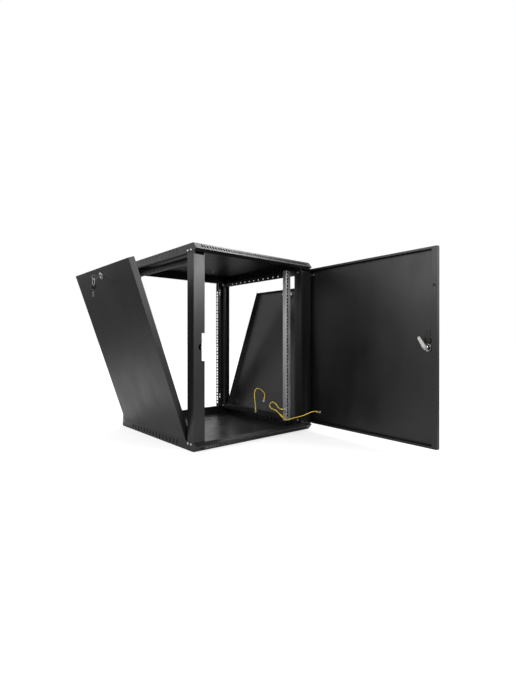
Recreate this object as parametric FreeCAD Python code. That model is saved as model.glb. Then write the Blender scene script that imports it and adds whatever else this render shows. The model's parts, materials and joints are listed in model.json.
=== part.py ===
"""Wall mount network cabinet, 15 rack units, 600 mm wide and 600 mm deep.

The cabinet is a screwed sheet-steel frame: a base pan and a top cover with a beaked front
edge, four corner posts, rear beams, depth bars and four 19-inch rails. The front door
hangs on pins in the beaks and stands open. Both side panels stand in the rim of the base
and lean out. Earth leads bond the right panel and the door to the frame.

Frame: millimetres, +Z up, -Y is the front, +X is the hinge side of the door.
The origin is the centre of the underside of the base.
"""
import FreeCAD, Part
import math
import os

V = FreeCAD.Vector

# Overall size and sheet thickness
WIDTH = 600.0
DEPTH = 600.0
RACK_UNITS = 15
UNIT = 44.45
RACK_MARGIN = 67.45
SKIRT = 31.0
RAIL_END_GAP = 3.125
HEIGHT = RACK_UNITS * UNIT + 2 * (SKIRT + RAIL_END_GAP)
SHEET = 1.2
POST_SHEET = 1.5
RAIL_SHEET = 2.0
GAP = 0.3

# Round hardware is drawn with flats, so that its mesh stays light: few on small pieces
FLATS = 12
SMALL_FLATS = 8
SMALL_RADIUS = 6.5

# Base pan and top cover
RIM = 18.0
BEAK_REACH = 18.0
BEAK_RISE = 22.0
BEAK_LIP = 3.0
FRONT_VENT_PITCH = 12.0
FRONT_VENT_WIDTH = 7.5
FRONT_VENT_MARGIN = 22.0
SIDE_VENT_PITCH = 27.0
SIDE_VENT_WIDTH = 9.0
SIDE_VENT_MARGIN = 96.0
VENT_EDGE = 6.0
CABLE_ENTRY_WIDTH = 200.0
CABLE_ENTRY_DEPTH = 90.0
CABLE_ENTRY_REAR = 45.0
COVER_LAP = 12.0
PLATE_SHEET = 1.5

# Posts and rear beams
FRONT_POST_WIDTH = 48.0
FRONT_POST_DEPTH = 42.0
FRONT_POST_LIP = 14.0
POST_TOP_CUT = 39.5
REAR_POST_WIDTH = 70.0
REAR_POST_DEPTH = 22.0
LOCK_NOTCH_DEPTH = 13.0
LOCK_NOTCH_HEIGHT = 100.0
LOCK_NOTCH_RADIUS = 13.5
KEYHOLE_INSET = 47.0
KEYHOLE_SPACING = 558.0
KEYHOLE_RADIUS = 9.0
KEYHOLE_SLOT = 9.0
KEYHOLE_RISE = 17.0
BEAM_HEIGHT = 37.0
BEAM_FLANGE = 14.0

# Depth bars and rails
BAR_HEIGHT = 24.0
BAR_FLANGE = 12.0
LOWER_BAR_CENTRE = 41.0
UPPER_BAR_DROP = 45.0
BAR_HOLE = 8.0
BAR_HOLE_COUNT = 9
BAR_SCREW_INSET = 20.0
RACK_HOLE_SPACING = WIDTH - 2 * RACK_MARGIN
RACK_HOLE = 9.5
RACK_HOLE_STEPS = (6.35, 22.225, 38.1)
RAIL_EDGE = 10.5
RAIL_LIP = 20.0
RAIL_LEG = 30.0
FRONT_RAIL_SETBACK = 64.0
REAR_RAIL_SETBACK = 20.0
RAIL_BOLT_INSET = 15.0

# Fasteners
SCREW_HEAD = 4.5
SCREW_HEAD_HEIGHT = 2.2
COVER_SCREW_DROP = 24.0
COVER_SCREW_FIRST = 15.5
COVER_SCREW_SECOND = 36.0
REAR_SCREW_INSET = 12.0
BOLT_ACROSS_FLATS = 10.0
BOLT_HEAD_HEIGHT = 4.0
BOLT_SHANK = 3.0

# Door
DOOR_SIDE_GAP = 3.0
DOOR_END_GAP = 1.5
DOOR_DEPTH = 16.0
DOOR_LIP = 18.0
DOOR_END_LIP = 8.0
DOOR_OPEN = 87.0
HINGE_SIDE_INSET = 8.5
HINGE_FORWARD = 11.0
HINGE_PIN = 3.0
HINGE_CLEARANCE = 0.05
HINGE_BUSH = 4.4
HINGE_REACH = 10.0
PIN_FOOT = 6.0
PIN_LEVER_DROP = 30.0
PIN_LEVER_LENGTH = 30.0
PIN_LEVER = 2.2
PIN_COLLAR = 4.0
PIN_COLLAR_HEIGHT = 2.0
DOOR_LOCK_INSET = 40.0
BUMPER_INSET = 9.0
BUMPER_RADIUS = 5.0
BUMPER_OFFSET = 207.0
PIN_BRACKET_WIDTH = 30.0
PIN_BRACKET_DROP = 8.0
BUFFER_INSET = 36.0
BUFFER_RISE = 24.0
BUFFER_RADIUS = 9.0
BUFFER_HEIGHT = 5.0
GUIDE_INSET = 40.0
GUIDE_RISE = 49.5
GUIDE_WIDTH = 16.0
GUIDE_HEIGHT = 22.0
GUIDE_HOLE = 3.5
GUIDE_HOLE_SPACING = 10.0

# Side panels
PANEL_FRONT = 50.0
PANEL_REAR = 25.0
PANEL_HEIGHT = 666.0
PANEL_FLANGE = 22.0
PANEL_END_FLANGE = 14.0
PANEL_TILT = 19.0
TAB_WIDTH = 30.0
TAB_DEPTH = 12.0
TAB_INSET = 6.0
TAB_SPACING = 360.0
TAB_PLAY = 0.5
TAB_LEAN_PLAY = 1.8
PANEL_LOCK_DROP = 30.0

# Locks
BARREL_RADIUS = 9.5
BARREL_LENGTH = 17.0
BARREL_FLANGE = 13.0
BARREL_FLANGE_HEIGHT = 2.0
PLUG_RADIUS = 7.0
NECK_RADIUS = 6.0
PLUG_CLEARANCE = 0.05
NUT_ACROSS_FLATS = 24.0
NUT_HEIGHT = 4.0
CAM_SHEET = 2.5
CAM_WIDTH = 14.0
CAM_SEAT = 7.0
CAM_CLEARANCE = 0.5
DOOR_CAM_LENGTH = 44.0
DOOR_CAM_ANGLE = 32.0
SIDE_CAM_LENGTH = 46.0
KEY_SLOT_WIDTH = 2.4
KEY_SLOT_DEPTH = 3.0

# Keys
KEY_SHEET = 2.0
KEY_SHANK = 8.0
KEY_NECK = 12.0
KEY_BOW = 11.0
KEY_HOLE = 4.0
RING_RADIUS = 12.0
RING_WIRE = 1.0
RING_WIDTH = 1.6
RING_FLATS = 24
SPARE_HEAD_SHEET = 4.0
SPARE_HEAD = 10.0
SPARE_HOLE = 3.5
SPARE_BLADE = 27.0

# Earth leads
LEAD = 3.5
LEAD_TAIL = 12.0
SPLICE_TAIL = 9.0
BEND_SHARE = 0.45
RAIL_STUD_HEIGHT = 83.0
PANEL_STUD_OFFSET = 14.0
PANEL_STUD_HEIGHT = 88.0
DOOR_STUD_INSET = 56.0
DOOR_STUD_HEIGHT = 82.7
STUD_RADIUS = 3.0
STUD_CLEARANCE = 0.1
STUD_HEIGHT = 8.0
TERMINAL_EYE = 6.0
TERMINAL_SHEET = 1.0
TERMINAL_BARREL = 3.0
TERMINAL_BARREL_LENGTH = 12.0

# Places that follow from the sizes
LEFT = -WIDTH / 2
RIGHT = WIDTH / 2
FRONT = -DEPTH / 2
REAR = DEPTH / 2
MIDDLE = HEIGHT / 2
RAIL_BOTTOM = SKIRT + RAIL_END_GAP
RAIL_TOP = HEIGHT - RAIL_BOTTOM
UPPER_BAR_CENTRE = HEIGHT - UPPER_BAR_DROP
BAR_OUTER = RIGHT - FRONT_POST_WIDTH
RAIL_OUTER = BAR_OUTER - POST_SHEET
RAIL_INNER = RACK_HOLE_SPACING / 2 - RAIL_EDGE
RAIL_BOLT_FRONT = FRONT + FRONT_RAIL_SETBACK + RAIL_BOLT_INSET
RAIL_BOLT_REAR = REAR - REAR_RAIL_SETBACK - RAIL_BOLT_INSET
HINGE_X = RIGHT - HINGE_SIDE_INSET
HINGE_Y = FRONT - HINGE_FORWARD
DOOR_FACE = FRONT - BEAK_REACH
DOOR_BACK = DOOR_FACE + DOOR_DEPTH
DOOR_BOTTOM = SKIRT + DOOR_END_GAP
DOOR_TOP = HEIGHT - SKIRT - DOOR_END_GAP
DOOR_LEFT = LEFT + DOOR_SIDE_GAP
DOOR_RIGHT = RIGHT - DOOR_SIDE_GAP
PANEL_BOTTOM = SKIRT + GAP
PANEL_TOP = PANEL_BOTTOM + PANEL_HEIGHT
PANEL_Y0 = FRONT + PANEL_FRONT
PANEL_Y1 = REAR - PANEL_REAR
PANEL_LOCK_Y = (PANEL_Y0 + PANEL_Y1) / 2
PANEL_LOCK_Z = PANEL_TOP - PANEL_LOCK_DROP


# ---------------------------------------------------------------- helpers

def box(x0, x1, y0, y1, z0, z1):
    """A block between two corners."""
    return Part.makeBox(x1 - x0, y1 - y0, z1 - z0, V(x0, y0, z0))


def rod(radius, length, at, along=V(0, 0, 1)):
    """A round bar from a point along a direction."""
    return Part.makeCylinder(radius, length, at, along)


def ring_of_points(radius, count):
    """A closed ring of points about the origin, in the plane Z = 0."""
    angles = [2 * math.pi * i / count for i in range(count + 1)]
    return [V(radius * math.cos(angle), radius * math.sin(angle), 0) for angle in angles]


def flatted(radius, flats, length, at, along=V(0, 0, 1)):
    """A bar with equal flats whose corners lie at a radius, from a point along a direction."""
    bar = Part.Face(Part.makePolygon(ring_of_points(radius, flats))).extrude(V(0, 0, length))
    bar.Placement = FreeCAD.Placement(at, FreeCAD.Rotation(V(0, 0, 1), along))
    return bar


def flats_at(radius):
    """How many flats stand for a round surface of this radius."""
    return SMALL_FLATS if radius < SMALL_RADIUS else FLATS


def peg(radius, length, at, along=V(0, 0, 1)):
    """A piece of round hardware, its flats inside its radius."""
    return flatted(radius, flats_at(radius), length, at, along)


def bore(radius, length, at, along=V(0, 0, 1)):
    """What is cut for a peg of this radius, its flats outside the radius."""
    flats = flats_at(radius)
    return flatted(radius / math.cos(math.pi / flats), flats, length, at, along)


def hexagon(across_flats, length, at, along=V(0, 0, 1)):
    """A six-sided nut or head from a point along a direction."""
    return flatted(across_flats / math.sqrt(3), 6, length, at, along)


def prism(points, along):
    """A closed outline of points, extruded."""
    return Part.Face(Part.makePolygon(points + [points[0]])).extrude(along)


def strip(points, thickness):
    """The closed outline of a bent strip: a 2D line and its offset to the left by the thickness."""
    def normal(a, b):
        length = math.hypot(b[0] - a[0], b[1] - a[1])
        return (-(b[1] - a[1]) / length, (b[0] - a[0]) / length)

    normals = [normal(a, b) for a, b in zip(points, points[1:])]
    offset = []
    for i, point in enumerate(points):
        before = normals[max(i - 1, 0)]
        after = normals[min(i, len(normals) - 1)]
        share = thickness / (1 + before[0] * after[0] + before[1] * after[1])
        offset.append((point[0] + (before[0] + after[0]) * share,
                       point[1] + (before[1] + after[1]) * share))
    return points + offset[::-1]


def folded(points, thickness, z0, z1):
    """An upright folded profile, given as a line in plan."""
    outline = [V(x, y, z0) for x, y in strip(points, thickness)]
    return prism(outline, V(0, 0, z1 - z0))


def mirrored(shape, normal, at=V(0, 0, 0)):
    """The mirror image in a plane."""
    return shape.mirror(at, normal)


def both_sides(shape):
    """A shape and its mirror image in the middle plane."""
    return [shape, mirrored(shape, V(1, 0, 0))]


def turned(shape, at, axis, angle):
    """A copy turned about an axis."""
    copy = shape.copy()
    copy.rotate(at, axis, angle)
    return copy


def screw(place):
    """A pan-head screw's head on its sheet. The shank inside the sheets isn't drawn."""
    at, out = place
    return peg(SCREW_HEAD, SCREW_HEAD_HEIGHT, at, out)


# ---------------------------------------------------------------- base pan and top cover

def beak_section():
    """The beak's outer line in Y and Z, from the pan's plate up to its lip."""
    return [(FRONT, 0.0), (FRONT - BEAK_REACH, BEAK_RISE), (FRONT - BEAK_LIP, SKIRT)]


def pan():
    """The base pan. The top cover is its mirror image."""
    shape = box(LEFT, RIGHT, FRONT, REAR, 0, SHEET)
    outline = [(y, z) for y, z in strip(beak_section()[::-1], SHEET)]
    beak = prism([V(LEFT, y, z) for y, z in outline], V(WIDTH, 0, 0))
    beak = beak.cut(box(LEFT, RIGHT, FRONT, FRONT + SKIRT, SHEET, SKIRT))
    side_outline = beak_section() + [(REAR, SKIRT), (REAR, 0.0)]
    side = prism([V(LEFT, y, z) for y, z in side_outline], V(SHEET, 0, 0))
    rim = box(LEFT, LEFT + RIM, FRONT + FRONT_POST_DEPTH + GAP, REAR - REAR_POST_DEPTH - GAP,
              SKIRT - SHEET, SKIRT)
    back = box(LEFT, RIGHT, REAR - SHEET, REAR, 0, SKIRT)
    plate_z = SKIRT - HINGE_REACH
    hinge_plate = box(HINGE_X - 2 * HINGE_BUSH, RIGHT - SHEET / 2,
                      FRONT - BEAK_REACH * plate_z / BEAK_RISE, FRONT - BEAK_LIP,
                      plate_z, plate_z + 2 * SHEET)
    walls = [beak, back, hinge_plate] + both_sides(side) + both_sides(rim)
    shape = shape.multiFuse(walls).removeSplitter()
    cuts = pan_vents() + both_sides_all(tab_slots())
    cuts.append(bore(HINGE_BUSH + HINGE_CLEARANCE, SKIRT, V(HINGE_X, HINGE_Y, plate_z - SHEET)))
    cuts.append(box(-CABLE_ENTRY_WIDTH / 2, CABLE_ENTRY_WIDTH / 2,
                    REAR - CABLE_ENTRY_REAR - CABLE_ENTRY_DEPTH, REAR - CABLE_ENTRY_REAR,
                    -SHEET, 2 * SHEET))
    return shape.cut(Part.makeCompound(cuts))


def both_sides_all(shapes):
    """Each shape with its mirror image."""
    return [image for shape in shapes for image in both_sides(shape)]


def pan_vents():
    """Vent slots: a row along the beak's outer slope and a row of upright slots in each skirt."""
    cuts = []
    span = WIDTH - 2 * FRONT_VENT_MARGIN
    count = int(span // FRONT_VENT_PITCH)
    first = -(count - 1) * FRONT_VENT_PITCH / 2
    for i in range(count):
        x = first + i * FRONT_VENT_PITCH
        cuts.append(box(x - FRONT_VENT_WIDTH / 2, x + FRONT_VENT_WIDTH / 2,
                        FRONT - BEAK_REACH - SHEET, FRONT, VENT_EDGE, BEAK_RISE - VENT_EDGE))
    span = DEPTH - 2 * SIDE_VENT_MARGIN
    count = int(span // SIDE_VENT_PITCH)
    first = -(count - 1) * SIDE_VENT_PITCH / 2
    side = []
    for i in range(count):
        y = first + i * SIDE_VENT_PITCH
        side.append(box(LEFT - SHEET, LEFT + 2 * SHEET, y - SIDE_VENT_WIDTH / 2, y + SIDE_VENT_WIDTH / 2,
                        VENT_EDGE, SKIRT - VENT_EDGE))
    return cuts + both_sides_all(side)


def tab_slots():
    """Slots in the left rim for the side panel's tabs."""
    low = LEFT + TAB_INSET - TAB_PLAY
    high = LEFT + TAB_INSET + SHEET + TAB_LEAN_PLAY
    return [box(low, high, y - TAB_WIDTH / 2 - TAB_PLAY, y + TAB_WIDTH / 2 + TAB_PLAY,
                SKIRT - 2 * SHEET, SKIRT + SHEET) for y in tab_places()]


def tab_places():
    """Y of the two tabs of a side panel."""
    return [PANEL_LOCK_Y - TAB_SPACING / 2, PANEL_LOCK_Y + TAB_SPACING / 2]


def cable_plate():
    """The blanking plate over the base's cable entry, on the inside."""
    y0 = REAR - CABLE_ENTRY_REAR - CABLE_ENTRY_DEPTH - COVER_LAP
    y1 = REAR - CABLE_ENTRY_REAR + COVER_LAP
    half = CABLE_ENTRY_WIDTH / 2 + COVER_LAP
    return box(-half, half, y0, y1, SHEET, SHEET + PLATE_SHEET)


def make_covers():
    """Base pan, top cover and their cable plates."""
    middle = V(0, 0, MIDDLE)
    up = V(0, 0, 1)
    base = pan()
    plate = cable_plate()
    return {"base_pan": base, "top_cover": mirrored(base, up, middle),
            "cable_plate_base": plate, "cable_plate_top": mirrored(plate, up, middle)}


# ---------------------------------------------------------------- posts and beams

def front_post():
    """The left front post: a lipped channel, open to the rear, notched for the door lock."""
    inner = LEFT + FRONT_POST_WIDTH
    back = FRONT + FRONT_POST_DEPTH
    outer = LEFT + SHEET
    line = [(outer + FRONT_POST_LIP, back), (outer, back), (outer, FRONT), (inner, FRONT), (inner, back),
            (inner - FRONT_POST_LIP, back)]
    shape = folded(line, POST_SHEET, SHEET, HEIGHT - SHEET)
    top_cut = box(outer + POST_SHEET, inner + POST_SHEET, FRONT - SHEET, FRONT + POST_SHEET,
                  HEIGHT - POST_TOP_CUT, HEIGHT)
    return shape.cut(top_cut)


def lock_notch():
    """What is cut from the left front post to clear the door lock."""
    edge = LEFT + FRONT_POST_WIDTH - LOCK_NOTCH_DEPTH
    notch = box(edge, LEFT + FRONT_POST_WIDTH + POST_SHEET, FRONT - SHEET, FRONT + FRONT_POST_DEPTH / 2,
                MIDDLE - LOCK_NOTCH_HEIGHT / 2, MIDDLE + LOCK_NOTCH_HEIGHT / 2)
    round_part = rod(LOCK_NOTCH_RADIUS, 2 * POST_SHEET, V(edge, FRONT - SHEET, MIDDLE), V(0, 1, 0))
    return notch.fuse(round_part)


def rear_post():
    """The left rear post: an angle with a wide wall flange and two keyholes."""
    back = REAR - SHEET
    outer = LEFT + SHEET
    line = [(LEFT + REAR_POST_WIDTH, back), (outer, back), (outer, REAR - REAR_POST_DEPTH)]
    shape = folded(line, POST_SHEET, SHEET, HEIGHT - SHEET)
    cuts = []
    for z in (MIDDLE - KEYHOLE_SPACING / 2, MIDDLE + KEYHOLE_SPACING / 2):
        x = LEFT + KEYHOLE_INSET
        through = 2 * REAR_POST_DEPTH
        at = V(x, REAR - REAR_POST_DEPTH, z)
        cuts.append(rod(KEYHOLE_RADIUS, through, at, V(0, 1, 0)))
        cuts.append(rod(KEYHOLE_SLOT / 2, through, at + V(0, 0, KEYHOLE_RISE), V(0, 1, 0)))
        cuts.append(box(x - KEYHOLE_SLOT / 2, x + KEYHOLE_SLOT / 2, REAR - REAR_POST_DEPTH, REAR,
                        z, z + KEYHOLE_RISE))
    return shape.cut(Part.makeCompound(cuts))


def rear_beam():
    """The lower rear beam: a channel between the rear posts, inside the base's rear skirt."""
    half = WIDTH / 2 - REAR_POST_WIDTH - GAP
    back = REAR - SHEET
    front = back - BEAM_FLANGE
    line = [(front, SHEET), (back, SHEET), (back, BEAM_HEIGHT), (front, BEAM_HEIGHT)]
    return prism([V(-half, y, z) for y, z in strip(line, POST_SHEET)], V(2 * half, 0, 0))


def make_frame():
    """Posts and rear beams."""
    post = front_post()
    rear = rear_post()
    beam = rear_beam()
    side = V(1, 0, 0)
    return {"front_post_left": post.cut(lock_notch()), "front_post_right": mirrored(post, side),
            "rear_post_left": rear, "rear_post_right": mirrored(rear, side),
            "rear_beam_lower": beam, "rear_beam_upper": mirrored(beam, V(0, 0, 1), V(0, 0, MIDDLE))}


# ---------------------------------------------------------------- depth bars and rails

def bar_hole_places():
    """Y of the bar's holes. The first and last take the rail bolts."""
    step = (RAIL_BOLT_REAR - RAIL_BOLT_FRONT) / (BAR_HOLE_COUNT - 1)
    return [RAIL_BOLT_FRONT + i * step for i in range(BAR_HOLE_COUNT)]


def depth_bar(centre):
    """A right depth bar: a channel whose web runs on along the front post, with a foot on the rear post."""
    low = centre - BAR_HEIGHT / 2
    high = centre + BAR_HEIGHT / 2
    front = FRONT + FRONT_POST_DEPTH + GAP
    back = REAR - SHEET - POST_SHEET
    flanges = [(BAR_OUTER - POST_SHEET + BAR_FLANGE, low), (BAR_OUTER - POST_SHEET, low),
               (BAR_OUTER - POST_SHEET, high), (BAR_OUTER - POST_SHEET + BAR_FLANGE, high)]
    outline = strip(flanges[::-1], POST_SHEET)
    channel = prism([V(x, front, z) for x, z in outline], V(0, back - front, 0))
    web = box(BAR_OUTER - POST_SHEET, BAR_OUTER, FRONT + POST_SHEET + SHEET, back, low, high)
    foot = box(BAR_OUTER - POST_SHEET, BAR_OUTER + 2 * BAR_FLANGE, back - POST_SHEET, back, low, high)
    holes = [box(RAIL_OUTER - POST_SHEET, BAR_OUTER + POST_SHEET, y - BAR_HOLE / 2, y + BAR_HOLE / 2,
                 centre - BAR_HOLE / 2, centre + BAR_HOLE / 2) for y in bar_hole_places()]
    return channel.fuse([web, foot]).cut(Part.makeCompound(holes)).removeSplitter()


def rail_hole_heights():
    """Z of every square hole: three in each rack unit."""
    return [RAIL_BOTTOM + unit * UNIT + step for unit in range(RACK_UNITS) for step in RACK_HOLE_STEPS]


def rail(front):
    """A right 19-inch rail that faces the front, its face in the plane Y = front."""
    line = [(RAIL_INNER, front + RAIL_LIP), (RAIL_INNER, front), (RAIL_OUTER, front),
            (RAIL_OUTER, front + RAIL_LEG)]
    shape = folded(line, RAIL_SHEET, RAIL_BOTTOM, RAIL_TOP)
    x = RACK_HOLE_SPACING / 2
    cuts = [box(x - RACK_HOLE / 2, x + RACK_HOLE / 2, front - RAIL_SHEET, front + 2 * RAIL_SHEET,
                z - RACK_HOLE / 2, z + RACK_HOLE / 2) for z in rail_hole_heights()]
    for z in (LOWER_BAR_CENTRE, UPPER_BAR_CENTRE):
        cuts.append(bore(BOLT_SHANK + GAP / 2, 3 * RAIL_SHEET,
                         V(RAIL_OUTER - 2 * RAIL_SHEET, front + RAIL_BOLT_INSET, z), V(1, 0, 0)))
    return shape.cut(Part.makeCompound(cuts))


def make_rack():
    """Depth bars and rails of both sides."""
    side = V(1, 0, 0)
    front = rail(FRONT + FRONT_RAIL_SETBACK)
    rear = mirrored(rail(-(REAR - REAR_RAIL_SETBACK)), V(0, 1, 0))
    lower = depth_bar(LOWER_BAR_CENTRE)
    upper = depth_bar(UPPER_BAR_CENTRE)
    return {"depth_bar_lower_right": lower, "depth_bar_lower_left": mirrored(lower, side),
            "depth_bar_upper_right": upper, "depth_bar_upper_left": mirrored(upper, side),
            "rack_rail_front_right": front, "rack_rail_front_left": mirrored(front, side),
            "rack_rail_rear_right": rear, "rack_rail_rear_left": mirrored(rear, side)}


# ---------------------------------------------------------------- fasteners of the frame

def mirrored_place(place, axis, about=0.0):
    """A screw's place mirrored in the plane where that axis has that value."""
    at, out = place
    at = V(at)
    out = V(out)
    at[axis] = 2 * about - at[axis]
    out[axis] = -out[axis]
    return at, out


def four_ways(places):
    """Places on the left and right, low and high."""
    both = places + [mirrored_place(place, 0) for place in places]
    return both + [mirrored_place(place, 2, MIDDLE) for place in both]


def cover_screw_places():
    """Through the base's left skirt into the posts: two at the front corner, one at the rear."""
    stations = (FRONT + COVER_SCREW_FIRST, FRONT + COVER_SCREW_SECOND, REAR - REAR_SCREW_INSET)
    return four_ways([(V(LEFT, y, COVER_SCREW_DROP), V(-1, 0, 0)) for y in stations])


def bar_screw_places():
    """Each depth bar's screws, into the front post's wall and the rear post's flange."""
    places = []
    for z in (LOWER_BAR_CENTRE, UPPER_BAR_CENTRE):
        places.append((V(RAIL_OUTER, FRONT + BAR_SCREW_INSET, z), V(-1, 0, 0)))
        places.append((V(BAR_OUTER + BAR_FLANGE, REAR - SHEET - 2 * POST_SHEET, z), V(0, -1, 0)))
    return places + [mirrored_place(place, 0) for place in places]


def plate_screw_places():
    """The corners of both cable plates."""
    half = CABLE_ENTRY_WIDTH / 2 + COVER_LAP / 2
    rear = REAR - CABLE_ENTRY_REAR + COVER_LAP / 2
    front = rear - CABLE_ENTRY_DEPTH - COVER_LAP
    return four_ways([(V(-half, y, SHEET + PLATE_SHEET), V(0, 0, 1)) for y in (front, rear)])


def rail_bolts():
    """Hexagon bolts with nuts that clamp the rails' legs to the depth bars."""
    bolts = []
    for y in (RAIL_BOLT_FRONT, RAIL_BOLT_REAR):
        for z in (LOWER_BAR_CENTRE, UPPER_BAR_CENTRE):
            head_face = V(RAIL_OUTER - RAIL_SHEET, y, z)
            nut_face = V(BAR_OUTER, y, z)
            head = hexagon(BOLT_ACROSS_FLATS, BOLT_HEAD_HEIGHT, head_face, V(-1, 0, 0))
            grip = BAR_OUTER - RAIL_OUTER + RAIL_SHEET
            shank = peg(BOLT_SHANK, grip, head_face, V(1, 0, 0))
            nut = hexagon(BOLT_ACROSS_FLATS, BOLT_HEAD_HEIGHT, nut_face, V(1, 0, 0))
            bolts.append(head.multiFuse([shank, nut]))
    return both_sides_all(bolts)


# ---------------------------------------------------------------- door

def door_panel():
    """The closed door: a tray with lips, holes for its pins and its lock."""
    line = [(DOOR_LEFT + DOOR_LIP, DOOR_BACK), (DOOR_LEFT, DOOR_BACK), (DOOR_LEFT, DOOR_FACE),
            (DOOR_RIGHT, DOOR_FACE), (DOOR_RIGHT, DOOR_BACK), (DOOR_RIGHT - DOOR_LIP, DOOR_BACK)]
    tray = folded(line, SHEET, DOOR_BOTTOM, DOOR_TOP)
    end = box(DOOR_LEFT, DOOR_RIGHT, DOOR_FACE, DOOR_BACK, DOOR_BOTTOM, DOOR_BOTTOM + SHEET)
    end_lip = box(DOOR_LEFT, DOOR_RIGHT, DOOR_BACK - SHEET, DOOR_BACK,
                  DOOR_BOTTOM, DOOR_BOTTOM + DOOR_END_LIP)
    lower = end.fuse(end_lip)
    upper = mirrored(lower, V(0, 0, 1), V(0, 0, MIDDLE))
    cuts = [bore(HINGE_PIN + HINGE_CLEARANCE, HEIGHT, V(HINGE_X, HINGE_Y, 0)),
            bore(BARREL_RADIUS + HINGE_CLEARANCE, 2 * SHEET,
                 V(door_lock_x(), DOOR_FACE - SHEET / 2, MIDDLE), V(0, 1, 0))]
    return tray.multiFuse([lower, upper]).cut(Part.makeCompound(cuts)).removeSplitter()


def door_lock_x():
    """X of the closed door's lock."""
    return DOOR_LEFT + DOOR_LOCK_INSET


def door_pin_lower():
    """The fixed lower hinge pin with its collar on the door's lower flange."""
    floor = DOOR_BOTTOM + SHEET
    bottom = SKIRT - HINGE_REACH + GAP
    pin = peg(HINGE_PIN, floor + PIN_FOOT - bottom, V(HINGE_X, HINGE_Y, bottom))
    return pin.fuse(peg(PIN_COLLAR, PIN_COLLAR_HEIGHT, V(HINGE_X, HINGE_Y, floor))).removeSplitter()


def door_pin_upper():
    """The sprung upper hinge pin: collar under the door's top flange, bent lever at its foot."""
    top = HEIGHT - SKIRT + HINGE_REACH - GAP
    foot = DOOR_TOP - PIN_LEVER_DROP
    pin = peg(HINGE_PIN, top - foot, V(HINGE_X, HINGE_Y, foot))
    seat = DOOR_TOP - SHEET - GAP
    collar = peg(PIN_COLLAR, PIN_COLLAR_HEIGHT, V(HINGE_X, HINGE_Y, seat - PIN_COLLAR_HEIGHT))
    lever = peg(PIN_LEVER, PIN_LEVER_LENGTH, V(HINGE_X, HINGE_Y, foot + PIN_LEVER), V(-1, 0, 0))
    return pin.multiFuse([collar, lever]).removeSplitter()


def spring_ear_z():
    """Underside of the ear that guides the sprung pin and carries its spring."""
    return DOOR_TOP - PIN_LEVER_DROP + 2 * PIN_LEVER + 2 * GAP


def door_pin_bracket():
    """An angle on the door's inner face whose ear guides the sprung pin."""
    z = spring_ear_z()
    face = DOOR_FACE + SHEET
    outer = DOOR_RIGHT - SHEET
    plate = box(outer - PIN_BRACKET_WIDTH, outer, face, face + SHEET, z, DOOR_TOP - PIN_BRACKET_DROP)
    ear = box(HINGE_X - 3 * HINGE_PIN, outer, face, HINGE_Y + 2 * HINGE_PIN, z, z + POST_SHEET)
    hole = bore(HINGE_PIN + HINGE_CLEARANCE, HEIGHT, V(HINGE_X, HINGE_Y, 0))
    return plate.fuse(ear).cut(hole).removeSplitter()


def door_pin_spring():
    """The sprung pin's coil spring, as the sleeve that its turns fill."""
    low = spring_ear_z() + POST_SHEET
    high = DOOR_TOP - SHEET - GAP - PIN_COLLAR_HEIGHT
    at = V(HINGE_X, HINGE_Y, low)
    return peg(PIN_COLLAR, high - low, at).cut(bore(HINGE_PIN + 2 * HINGE_CLEARANCE, high - low, at))


def hinge_bush():
    """The lower hinge's plastic bush in the base's beak."""
    low = SKIRT - HINGE_REACH
    high = DOOR_BOTTOM - GAP
    at = V(HINGE_X, HINGE_Y, low)
    return peg(HINGE_BUSH, high - low, at).cut(bore(HINGE_PIN + HINGE_CLEARANCE, high - low, at))


def door_bumpers():
    """Rubber bumpers on the lip of the door's free side."""
    x = DOOR_LEFT + BUMPER_INSET
    return [peg(BUMPER_RADIUS, FRONT - GAP - DOOR_BACK, V(x, DOOR_BACK, z), V(0, 1, 0))
            for z in (MIDDLE - BUMPER_OFFSET, MIDDLE + BUMPER_OFFSET)]


def door_buffer():
    """A round rubber buffer stuck to the door's inner face above the lock."""
    at = V(DOOR_LEFT + BUFFER_INSET, DOOR_FACE + SHEET, MIDDLE + BUFFER_RISE)
    return peg(BUFFER_RADIUS, BUFFER_HEIGHT, at, V(0, 1, 0))


def door_guide():
    """A small plate with two holes on the door's inner face, above the buffer."""
    x = DOOR_LEFT + GUIDE_INSET
    z = MIDDLE + GUIDE_RISE
    face = DOOR_FACE + SHEET
    plate = box(x - GUIDE_WIDTH / 2, x + GUIDE_WIDTH / 2, face, face + POST_SHEET,
                z - GUIDE_HEIGHT / 2, z + GUIDE_HEIGHT / 2)
    holes = [bore(GUIDE_HOLE, POST_SHEET, V(x, face, z + side * GUIDE_HOLE_SPACING / 2), V(0, 1, 0))
             for side in (-1, 1)]
    return plate.cut(Part.makeCompound(holes))


# ---------------------------------------------------------------- locks

def lock_barrel(length):
    """A lock barrel about +Z: flange outside, the face it seats on at Z = 0, bore for the plug."""
    flange = peg(BARREL_FLANGE, BARREL_FLANGE_HEIGHT, V(0, 0, 0))
    shell = flange.fuse(peg(BARREL_RADIUS, length, V(0, 0, -length)))
    hole = bore(PLUG_RADIUS + PLUG_CLEARANCE, length + BARREL_FLANGE_HEIGHT, V(0, 0, -length))
    return shell.cut(hole).removeSplitter()


def lock_plug(length, cam_at):
    """The plug: a keyway in its face, a long neck and a square seat for the cam."""
    face = BARREL_FLANGE_HEIGHT
    plug = peg(PLUG_RADIUS, length + face, V(0, 0, -length))
    neck = peg(NECK_RADIUS, cam_at - length, V(0, 0, -cam_at))
    half = CAM_SEAT / 2
    seat = box(-half, half, -half, half, -cam_at - CAM_SHEET, -cam_at)
    keyway = box(-KEY_SLOT_WIDTH / 2, KEY_SLOT_WIDTH / 2, -KEY_SHANK / 2, KEY_SHANK / 2,
                 face - KEY_SLOT_DEPTH, face)
    return plug.multiFuse([neck, seat]).cut(keyway).removeSplitter()


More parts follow.
